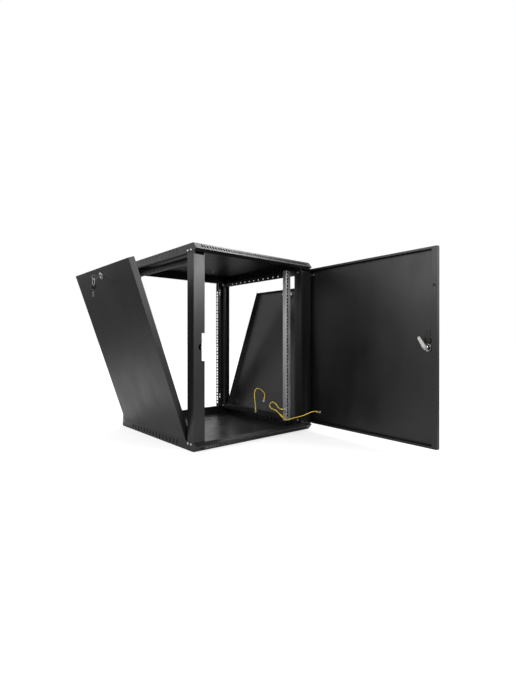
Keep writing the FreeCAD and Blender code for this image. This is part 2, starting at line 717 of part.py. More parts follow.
def lock_cam(cam_at, length):
    """The cam on the plug's seat, its tongue along +Y."""
    radius = CAM_WIDTH / 2
    low = -cam_at - CAM_SHEET
    plate = peg(radius, CAM_SHEET, V(0, 0, low))
    tongue = box(-radius, radius, 0, length - radius, low, low + CAM_SHEET)
    tip = peg(radius, CAM_SHEET, V(0, length - radius, low))
    half = CAM_SEAT / 2 + HINGE_CLEARANCE
    hole = box(-half, half, -half, half, low, low + CAM_SHEET)
    return plate.multiFuse([tongue, tip]).cut(hole).removeSplitter()


def lock_nut():
    """The hexagon nut that clamps a barrel to its sheet."""
    nut = hexagon(NUT_ACROSS_FLATS, NUT_HEIGHT, V(0, 0, -SHEET - NUT_HEIGHT))
    return nut.cut(bore(BARREL_RADIUS + HINGE_CLEARANCE, NUT_HEIGHT, V(0, 0, -SHEET - NUT_HEIGHT)))


def placed(shape, at, out):
    """A lock piece moved so that its +Z points out of the sheet at a point."""
    copy = shape.copy()
    copy.Placement = FreeCAD.Placement(at, FreeCAD.Rotation(V(0, 0, 1), out)).multiply(copy.Placement)
    return copy


# ---------------------------------------------------------------- side panels

def side_panel():
    """The closed left side panel: a tray with deep upright flanges and two tabs at its foot."""
    depth = LEFT + PANEL_FLANGE
    line = [(depth, PANEL_Y1), (LEFT, PANEL_Y1), (LEFT, PANEL_Y0), (depth, PANEL_Y0)]
    tray = folded(line, SHEET, PANEL_BOTTOM, PANEL_TOP)
    foot = box(LEFT, LEFT + PANEL_END_FLANGE, PANEL_Y0, PANEL_Y1, PANEL_BOTTOM, PANEL_BOTTOM + SHEET)
    head = box(LEFT, LEFT + PANEL_END_FLANGE, PANEL_Y0, PANEL_Y1, PANEL_TOP - SHEET, PANEL_TOP)
    tabs = [box(LEFT + TAB_INSET, LEFT + TAB_INSET + SHEET, y - TAB_WIDTH / 2, y + TAB_WIDTH / 2,
                PANEL_BOTTOM - TAB_DEPTH, PANEL_BOTTOM + SHEET / 2) for y in tab_places()]
    lock_hole = bore(BARREL_RADIUS + HINGE_CLEARANCE, 2 * SHEET,
                     V(LEFT - SHEET / 2, PANEL_LOCK_Y, PANEL_LOCK_Z), V(1, 0, 0))
    return tray.multiFuse([foot, head] + tabs).cut(lock_hole).removeSplitter()


def panel_lock():
    """The closed left panel's lock pieces: barrel, nut, plug and cam."""
    at = V(LEFT, PANEL_LOCK_Y, PANEL_LOCK_Z)
    out = V(-1, 0, 0)
    cam_at = RIM + GAP
    plug = turned(lock_plug(BARREL_LENGTH, cam_at), V(0, 0, 0), V(0, 0, 1), 90)
    return {"lock_barrel": placed(lock_barrel(BARREL_LENGTH), at, out),
            "lock_nut": placed(lock_nut(), at, out), "lock_plug": placed(plug, at, out),
            "lock_cam": placed(lock_cam(cam_at, SIDE_CAM_LENGTH), at, out)}


def leaning(shape, side):
    """A piece of the left (-1) or right (+1) panel, leant out about the panel's foot."""
    return turned(shape, V(side * RIGHT, 0, PANEL_BOTTOM), V(0, side, 0), PANEL_TILT)


def make_panels():
    """Both side panels with their locks, leaning out."""
    pieces = {"side_panel": side_panel()}
    pieces.update(panel_lock())
    nodes = {}
    for name, shape in pieces.items():
        nodes["left_" + name] = leaning(shape, -1)
        nodes["right_" + name] = leaning(mirrored(shape, V(1, 0, 0)), 1)
    return nodes


# ---------------------------------------------------------------- keys

def panel_key():
    """The key in the left panel's lock, in the closed panel's place."""
    root = LEFT - BARREL_FLANGE_HEIGHT + KEY_SLOT_DEPTH - GAP
    y0 = PANEL_LOCK_Y - KEY_SHEET / 2
    blade = box(root - KEY_SLOT_DEPTH - KEY_NECK, root, y0, y0 + KEY_SHEET,
                PANEL_LOCK_Z - KEY_SHANK / 2 + GAP, PANEL_LOCK_Z + KEY_SHANK / 2 - GAP)
    bow = peg(KEY_BOW, KEY_SHEET, V(key_bow_x(), y0, PANEL_LOCK_Z), V(0, 1, 0))
    hole = bore(KEY_HOLE, 3 * KEY_SHEET, V(key_hole_x(), y0 - KEY_SHEET, PANEL_LOCK_Z), V(0, 1, 0))
    return blade.fuse(bow).cut(hole).removeSplitter()


def key_bow_x():
    """X of the key bow's centre, with the panel closed."""
    return LEFT - BARREL_FLANGE_HEIGHT - KEY_NECK - KEY_BOW


def key_hole_x():
    """X of the hole in the key's bow, with the panel closed."""
    return key_bow_x() - KEY_BOW + KEY_HOLE + 2 * RING_WIRE


def lean_point(point, side):
    """Where a point of a closed panel lies when the panel leans out."""
    return leaning(Part.Vertex(point), side).Point


def ring_top():
    """Centre of the key ring's wire where it hangs in the key's bow."""
    hole = lean_point(V(key_hole_x(), PANEL_LOCK_Y, PANEL_LOCK_Z), -1)
    return hole - V(0, 0, KEY_HOLE - RING_WIRE - GAP)


def key_ring():
    """The ring of flat wire, hanging from the key."""
    at = ring_top() - V(RING_WIDTH / 2, 0, RING_RADIUS)
    along = V(1, 0, 0)
    outer = flatted(RING_RADIUS + RING_WIRE, RING_FLATS, RING_WIDTH, at, along)
    inner_corner = (RING_RADIUS - RING_WIRE) / math.cos(math.pi / RING_FLATS)
    return outer.cut(flatted(inner_corner, RING_FLATS, RING_WIDTH, at, along))


def ring_foot():
    """Centre of the ring's wire at its lowest point."""
    return ring_top() - V(0, 0, 2 * RING_RADIUS)


def spare_key():
    """The spare key with its moulded head, hanging from the ring."""
    hole = ring_foot() - V(0, 0, SPARE_HOLE - RING_WIRE - GAP)
    centre = hole - V(0, SPARE_HEAD_SHEET / 2, SPARE_HEAD - SPARE_HOLE - 2 * RING_WIRE)
    head = peg(SPARE_HEAD, SPARE_HEAD_SHEET, centre, V(0, 1, 0))
    half = KEY_SHANK / 2
    y0 = hole.y - KEY_SHEET / 2
    blade = box(centre.x - half, centre.x + half, y0, y0 + KEY_SHEET,
                centre.z - SPARE_HEAD - SPARE_BLADE, centre.z)
    cutter = bore(SPARE_HOLE, 3 * SPARE_HEAD_SHEET, hole - V(0, SPARE_HEAD_SHEET, 0), V(0, 1, 0))
    return head.fuse(blade).cut(cutter).removeSplitter()


# ---------------------------------------------------------------- earth leads

def oriented(shape, at, normal, along):
    """A shape moved so that its +Z is the normal and its +Y lies along a direction."""
    side = along.cross(normal)
    matrix = FreeCAD.Matrix(side.x, along.x, normal.x, at.x, side.y, along.y, normal.y, at.y,
                            side.z, along.z, normal.z, at.z, 0, 0, 0, 1)
    return shape.transformed(matrix)


def stud():
    """A welded earth stud about +Z with a hexagon nut over the terminal's eye."""
    nut = hexagon(BOLT_ACROSS_FLATS, BOLT_HEAD_HEIGHT, V(0, 0, TERMINAL_SHEET))
    return nut.fuse(peg(STUD_RADIUS, STUD_HEIGHT, V(0, 0, 0)))


def terminal():
    """A ring terminal: eye in the plane Z = 0, crimped barrel along +Y."""
    eye = peg(TERMINAL_EYE, TERMINAL_SHEET, V(0, 0, 0))
    neck = box(-TERMINAL_BARREL, TERMINAL_BARREL, 0, TERMINAL_EYE + TERMINAL_BARREL, 0, TERMINAL_SHEET)
    barrel = peg(TERMINAL_BARREL, TERMINAL_BARREL_LENGTH, V(0, TERMINAL_EYE, TERMINAL_BARREL), V(0, 1, 0))
    hole = bore(STUD_RADIUS + STUD_CLEARANCE, 3 * TERMINAL_BARREL, V(0, 0, -TERMINAL_BARREL))
    return eye.multiFuse([neck, barrel]).cut(hole).removeSplitter()


def wire_tail(place):
    """Where the lead leaves the barrel of a terminal and where it starts to bend."""
    at, normal, along = place
    end = at + normal * TERMINAL_BARREL + along * (TERMINAL_EYE + TERMINAL_BARREL_LENGTH)
    return [end, end + along * LEAD_TAIL]


def lead(points):
    """A lead as a tube: straight runs joined by tangent arcs as large as the runs allow.

    Its section is a square of the round lead's area, to keep the bends' meshes light.
    """
    edges = []
    start = points[0]
    radii = []
    for before, corner, after in zip(points, points[1:], points[2:]):
        arriving = (corner - before).normalize()
        leaving = (after - corner).normalize()
        turn = arriving.getAngle(leaving)
        reach = BEND_SHARE * min((corner - before).Length, (after - corner).Length)
        radius = reach / math.tan(turn / 2)
        radii.append(radius)
        first = corner - arriving * reach
        last = corner + leaving * reach
        inward = (leaving - arriving).normalize()
        middle = corner + inward * (radius / math.cos(turn / 2) - radius)
        edges.append(Part.LineSegment(start, first).toShape())
        edges.append(Part.Arc(first, middle, last).toShape())
        start = last
    edges.append(Part.LineSegment(start, points[-1]).toShape())
    path = Part.Wire(edges)
    direction = (points[1] - points[0]).normalize()
    area = math.pi * LEAD ** 2 / 4
    section = Part.makePolygon(ring_of_points(math.sqrt(area / 2), 4))
    section.Placement = FreeCAD.Placement(points[0], FreeCAD.Rotation(V(0, 0, 1), direction))
    tube = path.makePipeShell([section], True, False)
    ratio = tube.Volume / (area * path.Length)
    print("lead length %.1f least radius %.1f volume ratio %.4f" % (path.Length, min(radii), ratio))
    return tube


def bar_stud_place():
    """The stud on the lower right bar: point, normal, direction of its terminal."""
    return V(RAIL_OUTER, 0, LOWER_BAR_CENTRE), V(-1, 0, 0), V(0, 0, 1)


def rail_stud_place():
    """The stud on the front right rail's inner lip."""
    at = V(RAIL_INNER, FRONT + FRONT_RAIL_SETBACK + RAIL_LIP / 2, RAIL_STUD_HEIGHT)
    return at, V(-1, 0, 0), V(0, 1, 0)


def panel_stud_place():
    """The stud on the closed right panel's inner face."""
    return V(RIGHT - SHEET, PANEL_STUD_OFFSET, PANEL_STUD_HEIGHT), V(-1, 0, 0), V(0, 0, 1)


def door_stud_place():
    """The stud on the closed door's inner face."""
    return V(HINGE_X - DOOR_STUD_INSET, DOOR_FACE + SHEET, DOOR_STUD_HEIGHT), V(0, 1, 0), V(1, 0, 0)


def placed_route(anchor, offsets):
    """Points at some offsets from an anchor."""
    return [anchor + V(*offset) for offset in offsets]


def splice_ends():
    """Where the leads from the rail and from the door enter the in-line connector."""
    return placed_route(rail_stud_place()[0], [(-8, 20, -23), (-6, 4, -35)])


def splice_tail(end, other):
    """Where a lead leaves one end of the connector and where it starts to bend."""
    return [end, end + (end - other).normalize() * SPLICE_TAIL]


def opened(shape):
    """A piece of the door, swung from the closed place to the open one."""
    return turned(shape, V(HINGE_X, HINGE_Y, 0), V(0, 0, 1), DOOR_OPEN)


def make_terminals():
    """Studs, ring terminals and the in-line connector between the rail's and the door's leads."""
    ring = terminal()
    post = stud()
    on_frame = (bar_stud_place(), rail_stud_place())
    splice_in, splice_out = splice_ends()
    run = splice_out - splice_in
    return {"earth_studs_frame": Part.makeCompound([oriented(post, *place) for place in on_frame]),
            "earth_terminals_frame": Part.makeCompound([oriented(ring, *place) for place in on_frame]),
            "earth_stud_panel": leaning(oriented(post, *panel_stud_place()), 1),
            "earth_terminal_panel": leaning(oriented(ring, *panel_stud_place()), 1),
            "earth_stud_door": opened(oriented(post, *door_stud_place())),
            "earth_terminal_door": opened(oriented(ring, *door_stud_place())),
            "earth_splice": peg(TERMINAL_BARREL, run.Length, splice_in, run)}


def make_leads():
    """The leads from the bar to the panel, from the rail to the connector and on to the door."""
    panel_tail = [lean_point(point, 1) for point in wire_tail(panel_stud_place())]
    door_tail = [opened(Part.Vertex(point)).Point for point in wire_tail(door_stud_place())]
    panel_route = placed_route(bar_stud_place()[0], [
        (-1.5, 5, 46), (1.5, 12, 66), (7.5, 20, 87), (16.5, 25, 104), (30.5, 27, 111), (45.5, 25, 107),
        (58.5, 21, 98), (68.5, 17.5, 86.5)])
    rail_route = placed_route(rail_stud_place()[0], [
        (-4, 39, 9), (-6, 48, 20), (-10, 57, 27), (-13, 68, 28), (-17, 77, 20), (-19, 77, 7),
        (-18, 67, -2), (-16, 53, -3), (-13, 39, -8)])
    door_route = placed_route(rail_stud_place()[0], [
        (-4, -14, -43), (2, -26, -40), (10, -37, -35), (17, -51, -30), (22, -66, -25), (31, -83, -19),
        (45, -93, -12), (59.5, -101, -5)])
    splice_in, splice_out = splice_ends()
    from_rail = wire_tail(rail_stud_place()) + rail_route + splice_tail(splice_in, splice_out)[::-1]
    to_door = splice_tail(splice_out, splice_in) + door_route + door_tail[::-1]
    return {"earth_lead_panel": lead(wire_tail(bar_stud_place()) + panel_route + panel_tail[::-1]),
            "earth_lead_rail": lead(from_rail), "earth_lead_door": lead(to_door)}


# ---------------------------------------------------------------- assembly

def make_door():
    """The open door with its pins, lock, bracket and bumpers."""
    at = V(door_lock_x(), DOOR_FACE, MIDDLE)
    out = V(0, -1, 0)
    cam_at = BEAK_REACH + POST_SHEET + CAM_CLEARANCE
    cam = turned(placed(lock_cam(cam_at, DOOR_CAM_LENGTH), at, out), at, V(0, 1, 0), DOOR_CAM_ANGLE)
    closed = {"door_panel": door_panel(), "door_hinge_pin_lower": door_pin_lower(),
              "door_hinge_pin_upper": door_pin_upper(), "door_pin_spring": door_pin_spring(),
              "door_pin_bracket": door_pin_bracket(), "door_bumpers": Part.makeCompound(door_bumpers()),
              "door_buffer": door_buffer(), "door_guide": door_guide(),
              "door_lock_barrel": placed(lock_barrel(BARREL_LENGTH), at, out),
              "door_lock_nut": placed(lock_nut(), at, out),
              "door_lock_plug": turned(placed(lock_plug(BARREL_LENGTH, cam_at), at, out), at, V(0, 1, 0),
                                       DOOR_CAM_ANGLE),
              "door_lock_cam": cam}
    return {name: opened(shape) for name, shape in closed.items()}


def make_fasteners():
    """Screws and bolts of the frame, and the hinge bushes."""
    bush = hinge_bush()
    return {"cover_screws": Part.makeCompound([screw(place) for place in cover_screw_places()]),
            "bar_screws": Part.makeCompound([screw(place) for place in bar_screw_places()]),
            "plate_screws": Part.makeCompound([screw(place) for place in plate_screw_places()]),
            "rail_bolts": Part.makeCompound(rail_bolts()),
            "hinge_bush_lower": bush, "hinge_bush_upper": mirrored(bush, V(0, 0, 1), V(0, 0, MIDDLE))}


def make_keys():
    """The key in the left panel's lock, its ring and the spare key."""
    return {"panel_key": leaning(panel_key(), -1), "key_ring": key_ring(), "spare_key": spare_key()}


def main():
    """Build every node and write its STEP file."""
    os.makedirs("parts", exist_ok=True)
    nodes = {}
    for make in (make_covers, make_frame, make_rack, make_fasteners,
                 make_door, make_panels, make_keys, make_terminals, make_leads):
        nodes.update(make())
    for name, shape in nodes.items():
        shape.exportStep("parts/%s.step" % name)
        if not shape.isValid():
            print("not valid:", name)
    print(len(nodes), "nodes")


main()
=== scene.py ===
"""Fine pieces, finishes and stage for a wall mount network cabinet, laid out as an add-on.

Metres, +Z up, -Y is the front and +X the hinge side of the door. Every place follows from the
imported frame: from its joints, from its nodes' boxes or from the named sizes below.
"""
import json
import math

import bmesh
import bpy
from mathutils import Matrix, Vector

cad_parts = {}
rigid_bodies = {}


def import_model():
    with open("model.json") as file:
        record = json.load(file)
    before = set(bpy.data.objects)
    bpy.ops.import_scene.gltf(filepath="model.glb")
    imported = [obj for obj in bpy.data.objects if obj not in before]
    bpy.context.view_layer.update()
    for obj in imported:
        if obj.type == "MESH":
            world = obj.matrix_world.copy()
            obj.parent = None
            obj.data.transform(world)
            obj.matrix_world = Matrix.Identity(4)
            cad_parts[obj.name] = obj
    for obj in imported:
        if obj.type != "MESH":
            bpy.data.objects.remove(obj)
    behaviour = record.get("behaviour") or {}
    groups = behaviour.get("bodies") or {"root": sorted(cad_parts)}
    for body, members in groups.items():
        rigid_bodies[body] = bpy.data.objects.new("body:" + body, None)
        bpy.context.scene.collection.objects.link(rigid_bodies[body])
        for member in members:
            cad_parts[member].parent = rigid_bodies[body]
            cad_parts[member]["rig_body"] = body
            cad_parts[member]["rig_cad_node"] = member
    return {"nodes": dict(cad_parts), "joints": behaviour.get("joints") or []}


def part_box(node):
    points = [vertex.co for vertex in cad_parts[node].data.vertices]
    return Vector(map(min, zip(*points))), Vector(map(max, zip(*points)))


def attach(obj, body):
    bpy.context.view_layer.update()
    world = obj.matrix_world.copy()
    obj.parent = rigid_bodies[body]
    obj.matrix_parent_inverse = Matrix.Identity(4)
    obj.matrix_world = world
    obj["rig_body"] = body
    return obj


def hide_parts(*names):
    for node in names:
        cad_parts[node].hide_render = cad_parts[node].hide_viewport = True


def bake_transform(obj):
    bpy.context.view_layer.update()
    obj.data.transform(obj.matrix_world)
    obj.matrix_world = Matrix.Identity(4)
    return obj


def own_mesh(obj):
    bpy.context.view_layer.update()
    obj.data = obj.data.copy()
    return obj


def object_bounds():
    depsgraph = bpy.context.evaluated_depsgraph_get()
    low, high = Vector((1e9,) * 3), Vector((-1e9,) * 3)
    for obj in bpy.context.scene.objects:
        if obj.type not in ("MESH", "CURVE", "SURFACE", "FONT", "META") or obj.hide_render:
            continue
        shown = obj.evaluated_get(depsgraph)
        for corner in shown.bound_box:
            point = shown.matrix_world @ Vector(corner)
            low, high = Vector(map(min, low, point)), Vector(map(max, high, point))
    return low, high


bl_info = {
    "name": "Wall mount network cabinet",
    "version": (1, 0, 0),
    "blender": (4, 5, 0),
    "location": "3D View > Sidebar > Cabinet",
    "description": "Dresses the frame of a wall mount network cabinet",
    "category": "Object",
}

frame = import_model()
CAD_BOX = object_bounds()
NODES = frame["nodes"]
JOINTS = {joint["name"]: joint for joint in frame["joints"]}
MM = 0.001
UP = Vector((0, 0, 1))
# Turns that lay a piece made about Z along X, along -Y and along +Y.
ALONG_X = Matrix.Rotation(math.pi / 2, 4, "Y")
FORWARD = Matrix.Rotation(math.pi / 2, 4, "X")
BACKWARD = Matrix.Rotation(-math.pi / 2, 4, "X")


# ---------------------------------------------------------------- sizes and colours

def hex_colour(text, alpha=1.0):
    """An sRGB hex value as a linear colour."""
    channels = [int(text[i:i + 2], 16) / 255 for i in (1, 3, 5)]
    linear = [c / 12.92 if c <= 0.04045 else ((c + 0.055) / 1.055) ** 2.4 for c in channels]
    return (*linear, alpha)


def length_value(name, description, default):
    """A length that a user can change, in metres."""
    return bpy.props.FloatProperty(name=name, description=description, default=default,
                                   min=0.0, subtype="DISTANCE", unit="LENGTH")


def colour_value(name, description, default):
    """A colour that a user can change."""
    return bpy.props.FloatVectorProperty(name=name, description=description, size=4, min=0.0, max=1.0,
                                         default=hex_colour(default), subtype="COLOR")


class CabinetSizes(bpy.types.PropertyGroup):
    """Sizes of the finish and of the small pieces."""
    fold: length_value("Fold radius", "Outer radius of a fold in the sheet", 1.7 * MM)
    inner_fold: length_value("Inner fold radius", "Inner radius of a fold in the sheet", 0.5 * MM)
    edge: length_value("Edge rounding", "Rounding of a cut edge", 0.25 * MM)
    lead: length_value("Lead diameter", "Diameter of an earth lead over its insulation", 3.5 * MM)
    spring_wire: length_value("Spring wire", "Diameter of the pin spring's wire", 0.8 * MM)
    recess: length_value("Screw recess", "Width of one slot of a screw's cross recess", 1.1 * MM)


class CabinetColours(bpy.types.PropertyGroup):
    """Colours of the finishes."""
    paint: colour_value("Paint", "Black powder coat", "#0d0d0e")
    rail: colour_value("Rail plating", "Zinc plating of the front rails", "#dcdee0")
    zinc: colour_value("Zinc", "Bright zinc plating", "#c9c9c4")
    chrome: colour_value("Lock plating", "Bright plating of the locks", "#cfcfcf")
    nickel: colour_value("Key plating", "Nickel plating of keys and ring", "#c8c7c2")
    yellow: colour_value("Lead yellow", "Yellow of the earth leads", "#f7cf45")
    green: colour_value("Lead green", "Green stripe of the earth leads", "#4f8a35")
    rubber: colour_value("Rubber", "Black rubber of bumpers and buffer", "#141414")
    moulded: colour_value("Moulded plastic", "Black plastic of the key head and the bushes", "#161617")
    floor: colour_value("Floor", "Floor and backdrop", "#c6c6c6")


class CabinetSettings(bpy.types.PropertyGroup):
    """Everything that a user may change."""
    sizes: bpy.props.PointerProperty(type=CabinetSizes, name="Sizes", description="Sizes")
    colours: bpy.props.PointerProperty(type=CabinetColours, name="Colours", description="Colours")


def sizes():
    """The cabinet's sizes."""
    return bpy.context.scene.cabinet.sizes


def colours():
    """The cabinet's colours."""
    return bpy.context.scene.cabinet.colours


# ---------------------------------------------------------------- materials

def add_node(tree, kind, inputs=None, **settings):
    """Adds a node. Inputs are values or the sockets that feed it, settings are its properties."""
    item = tree.nodes.new(kind)
    for key, value in settings.items():
        setattr(item, key, value)
    for key, value in (inputs or {}).items():
        if isinstance(value, bpy.types.NodeSocket):
            tree.links.new(value, item.inputs[key])
        else:
            item.inputs[key].default_value = value
    return item


SHADER_SOCKETS = {"base_color": "Base Color", "metallic": "Metallic", "roughness": "Roughness", "ior": "IOR"}


def new_material(name, **sockets):
    """A material whose shader has these values. Returns it with its tree and shader."""
    material = bpy.data.materials.new(name)
    material.use_nodes = True
    tree = material.node_tree
    shader = tree.nodes["Principled BSDF"]
    for key, value in sockets.items():
        shader.inputs[SHADER_SOCKETS[key]].default_value = value
    return material, tree, shader


def pattern(tree, feature, detail=2.0, stretch=(1, 1, 1)):
    """The value of noise whose features are about this size, in metres."""
    place = add_node(tree, "ShaderNodeTexCoord")
    spread = add_node(tree, "ShaderNodeMapping", {"Vector": place.outputs["Object"], "Scale": stretch})
    noise = add_node(tree, "ShaderNodeTexNoise",
                     {"Vector": spread.outputs["Vector"], "Scale": 1 / feature, "Detail": detail})
    return noise.outputs["Fac"]


def spread_value(tree, source, low, high, start=0.3, end=0.7, **settings):
    """A value that runs from start to end brought between two others."""
    change = add_node(tree, "ShaderNodeMapRange", {"Value": source, "From Min": start, "From Max": end,
                                                   "To Min": low, "To Max": high}, **settings)
    return change.outputs["Result"]


def scaled(colour, factor, lift=0.0):
    """A colour made lighter or darker."""
    return (*(min(1.0, c * factor + lift) for c in colour[:3]), 1.0)


def add_colour(tree, shader, share, first, second):
    """Gives a shader a colour between two, by the share of the second."""
    tint = add_node(tree, "ShaderNodeMix", {"Factor": share, "A": first, "B": second}, data_type="RGBA")
    tree.links.new(tint.outputs["Result"], shader.inputs["Base Color"])


def add_haze(tree, shader, source, low, high):
    """Gives a shader a roughness that follows a pattern between two values."""
    tree.links.new(spread_value(tree, source, low, high), shader.inputs["Roughness"])


def add_bump(tree, shader, height, strength, distance):
    """Gives a shader a bump that follows a pattern, with its depth in metres."""
    bump = add_node(tree, "ShaderNodeBump", {"Height": height, "Strength": strength, "Distance": distance})
    tree.links.new(bump.outputs["Normal"], shader.inputs["Normal"])


def powder_coat(name, colour, roughness):
    """Polyester powder coat on steel sheet, baked: a fine orange-peel texture with a satin sheen."""
    material, tree, shader = new_material(name, base_color=colour, ior=1.5)
    # Handling leaves the sheen slightly uneven over a hand's breadth, and dust lightens the coat in patches.
    add_haze(tree, shader, pattern(tree, 90 * MM, 3, (1, 1, 0.45)), roughness - 0.05, roughness + 0.07)
    dust = spread_value(tree, pattern(tree, 14 * MM, 6), 0.0, 0.3, 0.45, 0.75)
    add_colour(tree, shader, dust, colour, scaled(colour, 1.7, 0.002))
    # The peel is 0.5 mm across on the real sheet and is drawn at 1.5 mm so that it shows.
    add_bump(tree, shader, pattern(tree, 1.5 * MM, 3), 0.12, 0.2 * MM)
    return material


def plated(name, colour, roughness, grain, stretch=(1, 1, 1)):
    """Plated steel: a metal whose plating clouds a little along its grain."""
    material, tree, shader = new_material(name, base_color=colour, metallic=1.0)
    cloud = pattern(tree, grain, 4, stretch)
    add_haze(tree, shader, cloud, roughness - 0.08, roughness + 0.1)
    add_colour(tree, shader, spread_value(tree, cloud, 0.0, 0.6, 0.4, 0.8), colour, scaled(colour, 0.78))
    add_bump(tree, shader, cloud, 0.06, 0.05 * MM)
    return material


def moulded(name, colour, roughness, ior, grain, depth):
    """Moulded plastic or rubber with the fine grain of its mould."""
    material, tree, shader = new_material(name, base_color=colour, ior=ior)
    texture = pattern(tree, grain, 4)
    add_haze(tree, shader, texture, roughness - 0.06, roughness + 0.08)
    add_bump(tree, shader, texture, 0.2, depth)
    return material


STRIPE_MIDDLE = 0.6
STRIPE_HALF = 0.1


def lead_insulation(name, yellow, green):
    """Extruded PVC insulation, yellow with a green stripe along one side, soft gloss."""
    material, tree, shader = new_material(name, ior=1.53, roughness=0.38)
    around = add_node(tree, "ShaderNodeAttribute", attribute_name="around")
    stripe = add_node(tree, "ShaderNodeMath", {0: around.outputs["Fac"], 1: STRIPE_MIDDLE, 2: STRIPE_HALF},
                      operation="COMPARE")
    add_colour(tree, shader, stripe.outputs["Value"], yellow, green)
    add_bump(tree, shader, pattern(tree, 2 * MM), 0.1, 0.1 * MM)
    return material


def make_materials():
    """Every finish of the cabinet, by name."""
    tint = colours()
    return {
        "paint": powder_coat("black_powder_coat", tuple(tint.paint), 0.34),
        "rail": plated("zinc_plated_sheet", tuple(tint.rail), 0.5, 40 * MM, (1, 1, 0.3)),
        "zinc": plated("zinc_plated_steel", tuple(tint.zinc), 0.3, 3 * MM),
        "cam": plated("zinc_pressed_steel", tuple(tint.zinc), 0.36, 5 * MM, (1, 1, 3)),
        "chrome": plated("bright_plated_zinc_alloy", tuple(tint.chrome), 0.16, 8 * MM),
        "nickel": plated("nickel_plated_steel", tuple(tint.nickel), 0.22, 4 * MM),
        "tin": plated("tinned_copper", tuple(tint.zinc), 0.34, 2 * MM),
        "lead": lead_insulation("striped_lead_insulation", tuple(tint.yellow), tuple(tint.green)),
        "rubber": moulded("black_rubber", tuple(tint.rubber), 0.7, 1.52, 0.8 * MM, 0.1 * MM),
        "plastic": moulded("moulded_black_plastic", tuple(tint.moulded), 0.42, 1.46, 1.2 * MM, 0.08 * MM),
        "sleeve": moulded("yellow_sleeve", tuple(tint.yellow), 0.3, 1.5, 2 * MM, 0.05 * MM),
    }


MATERIALS = {}


# ---------------------------------------------------------------- modelling tools

def deselect():
    """Leaves object mode with nothing selected."""
    if bpy.context.object and bpy.context.object.mode != "OBJECT":
        bpy.ops.object.mode_set(mode="OBJECT")
    bpy.ops.object.select_all(action="DESELECT")


def activate(piece):
    """Selects one piece alone and makes it the active one."""
    deselect()
    piece.select_set(True)
    bpy.context.view_layer.objects.active = piece


def apply_modifiers(piece):
    """Applies a piece's modifiers in order."""
    activate(piece)
    for modifier in list(piece.modifiers):
        bpy.ops.object.modifier_apply(modifier=modifier.name)


def dress(piece, name, finish, node, rides=True):
    """Names a piece that stands for a node, gives it a finish, puts it on the node's body if it rides, and
    hides the node.
    """
    piece.name = name
    piece.data.name = name
    piece.data.materials.clear()
    piece.data.materials.append(MATERIALS[finish])
    if rides:
        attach(piece, NODES[node]["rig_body"])
    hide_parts(node)
    return piece


def smooth(piece, angle=35):
    """Smooths a piece's faces, apart from edges sharper than an angle, and keeps its large faces flat."""
    activate(piece)
    bpy.ops.object.shade_smooth_by_angle(angle=math.radians(angle))
    flat = piece.modifiers.new("flat faces", "WEIGHTED_NORMAL")
    flat.mode = "FACE_AREA"
    flat.weight = 50
    flat.keep_sharp = True
    apply_modifiers(piece)
    return piece


def rounded(piece, method, width, segments, angle=0):
    """Rounds a piece's edges to a width in metres, by their weight or where they pass an angle."""
    bevel = piece.modifiers.new("rounding", "BEVEL")
    bevel.limit_method = method
    bevel.angle_limit = math.radians(angle)
    bevel.width = width
    bevel.segments = segments
    apply_modifiers(piece)
    return smooth(piece, 40)


def corners(node):
    """The low and high corner of a node's box, in millimetres."""
    return [Vector(corner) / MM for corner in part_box(node)]


def heights(node):
    """The lowest and highest point of a node, in millimetres."""
    return [corner[2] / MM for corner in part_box(node)]


def own_copy(model, place=Matrix()):
    """A copy of a piece with a mesh of its own, moved by a matrix."""
    piece = model.copy()
    piece.data = model.data.copy()
    piece.data.transform(place)
    bpy.context.scene.collection.objects.link(piece)
    return piece


def welded_mesh(source):
    """A bmesh of a mesh whose triangles share their corners."""
    mesh = bmesh.new()
    mesh.from_mesh(source)
    bmesh.ops.remove_doubles(mesh, verts=mesh.verts, dist=0.01 * MM)
    return mesh


def merged_copy(node):
    """A copy of a node's mesh with its loose triangles merged into flat faces."""
    piece = own_copy(NODES[node])
    piece.parent = None
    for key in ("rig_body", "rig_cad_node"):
        del piece[key]
    mesh = welded_mesh(piece.data)
    bmesh.ops.dissolve_limit(mesh, angle_limit=math.radians(1), verts=mesh.verts, edges=mesh.edges)
    mesh.to_mesh(piece.data)
    mesh.free()
    return piece


def narrowness(face):
    """About the width of a face's narrow side."""
    return 2 * face.calc_area() / max(face.calc_perimeter(), 1e-9)


CUT_EDGE = 2.6
FOLD_ANGLE = 30


def sheet_copy(node, finish, segments=2, reshape=None):
    """A node's copy, reshaped if asked, with folds and cut edges rounded as on bent and deburred sheet.

    A face narrower than CUT_EDGE is a cut through the sheet and gets the smaller rounding.
    """
    size = sizes()
    piece = merged_copy(node)
    if reshape:
        reshape(piece, node)
    mesh = bmesh.new()
    mesh.from_mesh(piece.data)
    weight = mesh.edges.layers.float.new("bevel_weight_edge")
    for edge in mesh.edges:
        if len(edge.link_faces) != 2 or edge.calc_face_angle(0) < math.radians(FOLD_ANGLE):
            continue
        radius = size.edge
        if min(narrowness(face) for face in edge.link_faces) > CUT_EDGE * MM:
            radius = size.fold if edge.is_convex else size.inner_fold
        edge[weight] = radius / size.fold
    mesh.to_mesh(piece.data)
    mesh.free()
    return dress(rounded(piece, "WEIGHT", size.fold, segments), node + "_finished", finish, node)


def joint_point(name):
    """A joint's place."""
    return Vector(JOINTS[name]["pos_m"])


def upright_place(at, outward, upward=UP):
    """The matrix whose Z points outward at a point and whose Y is as near upward as it goes."""
    z = Vector(outward).normalized()
    y = (Vector(upward) - z * Vector(upward).dot(z)).normalized()
    matrix = Matrix((y.cross(z), y, z)).transposed().to_4x4()
    matrix.translation = at
    return matrix


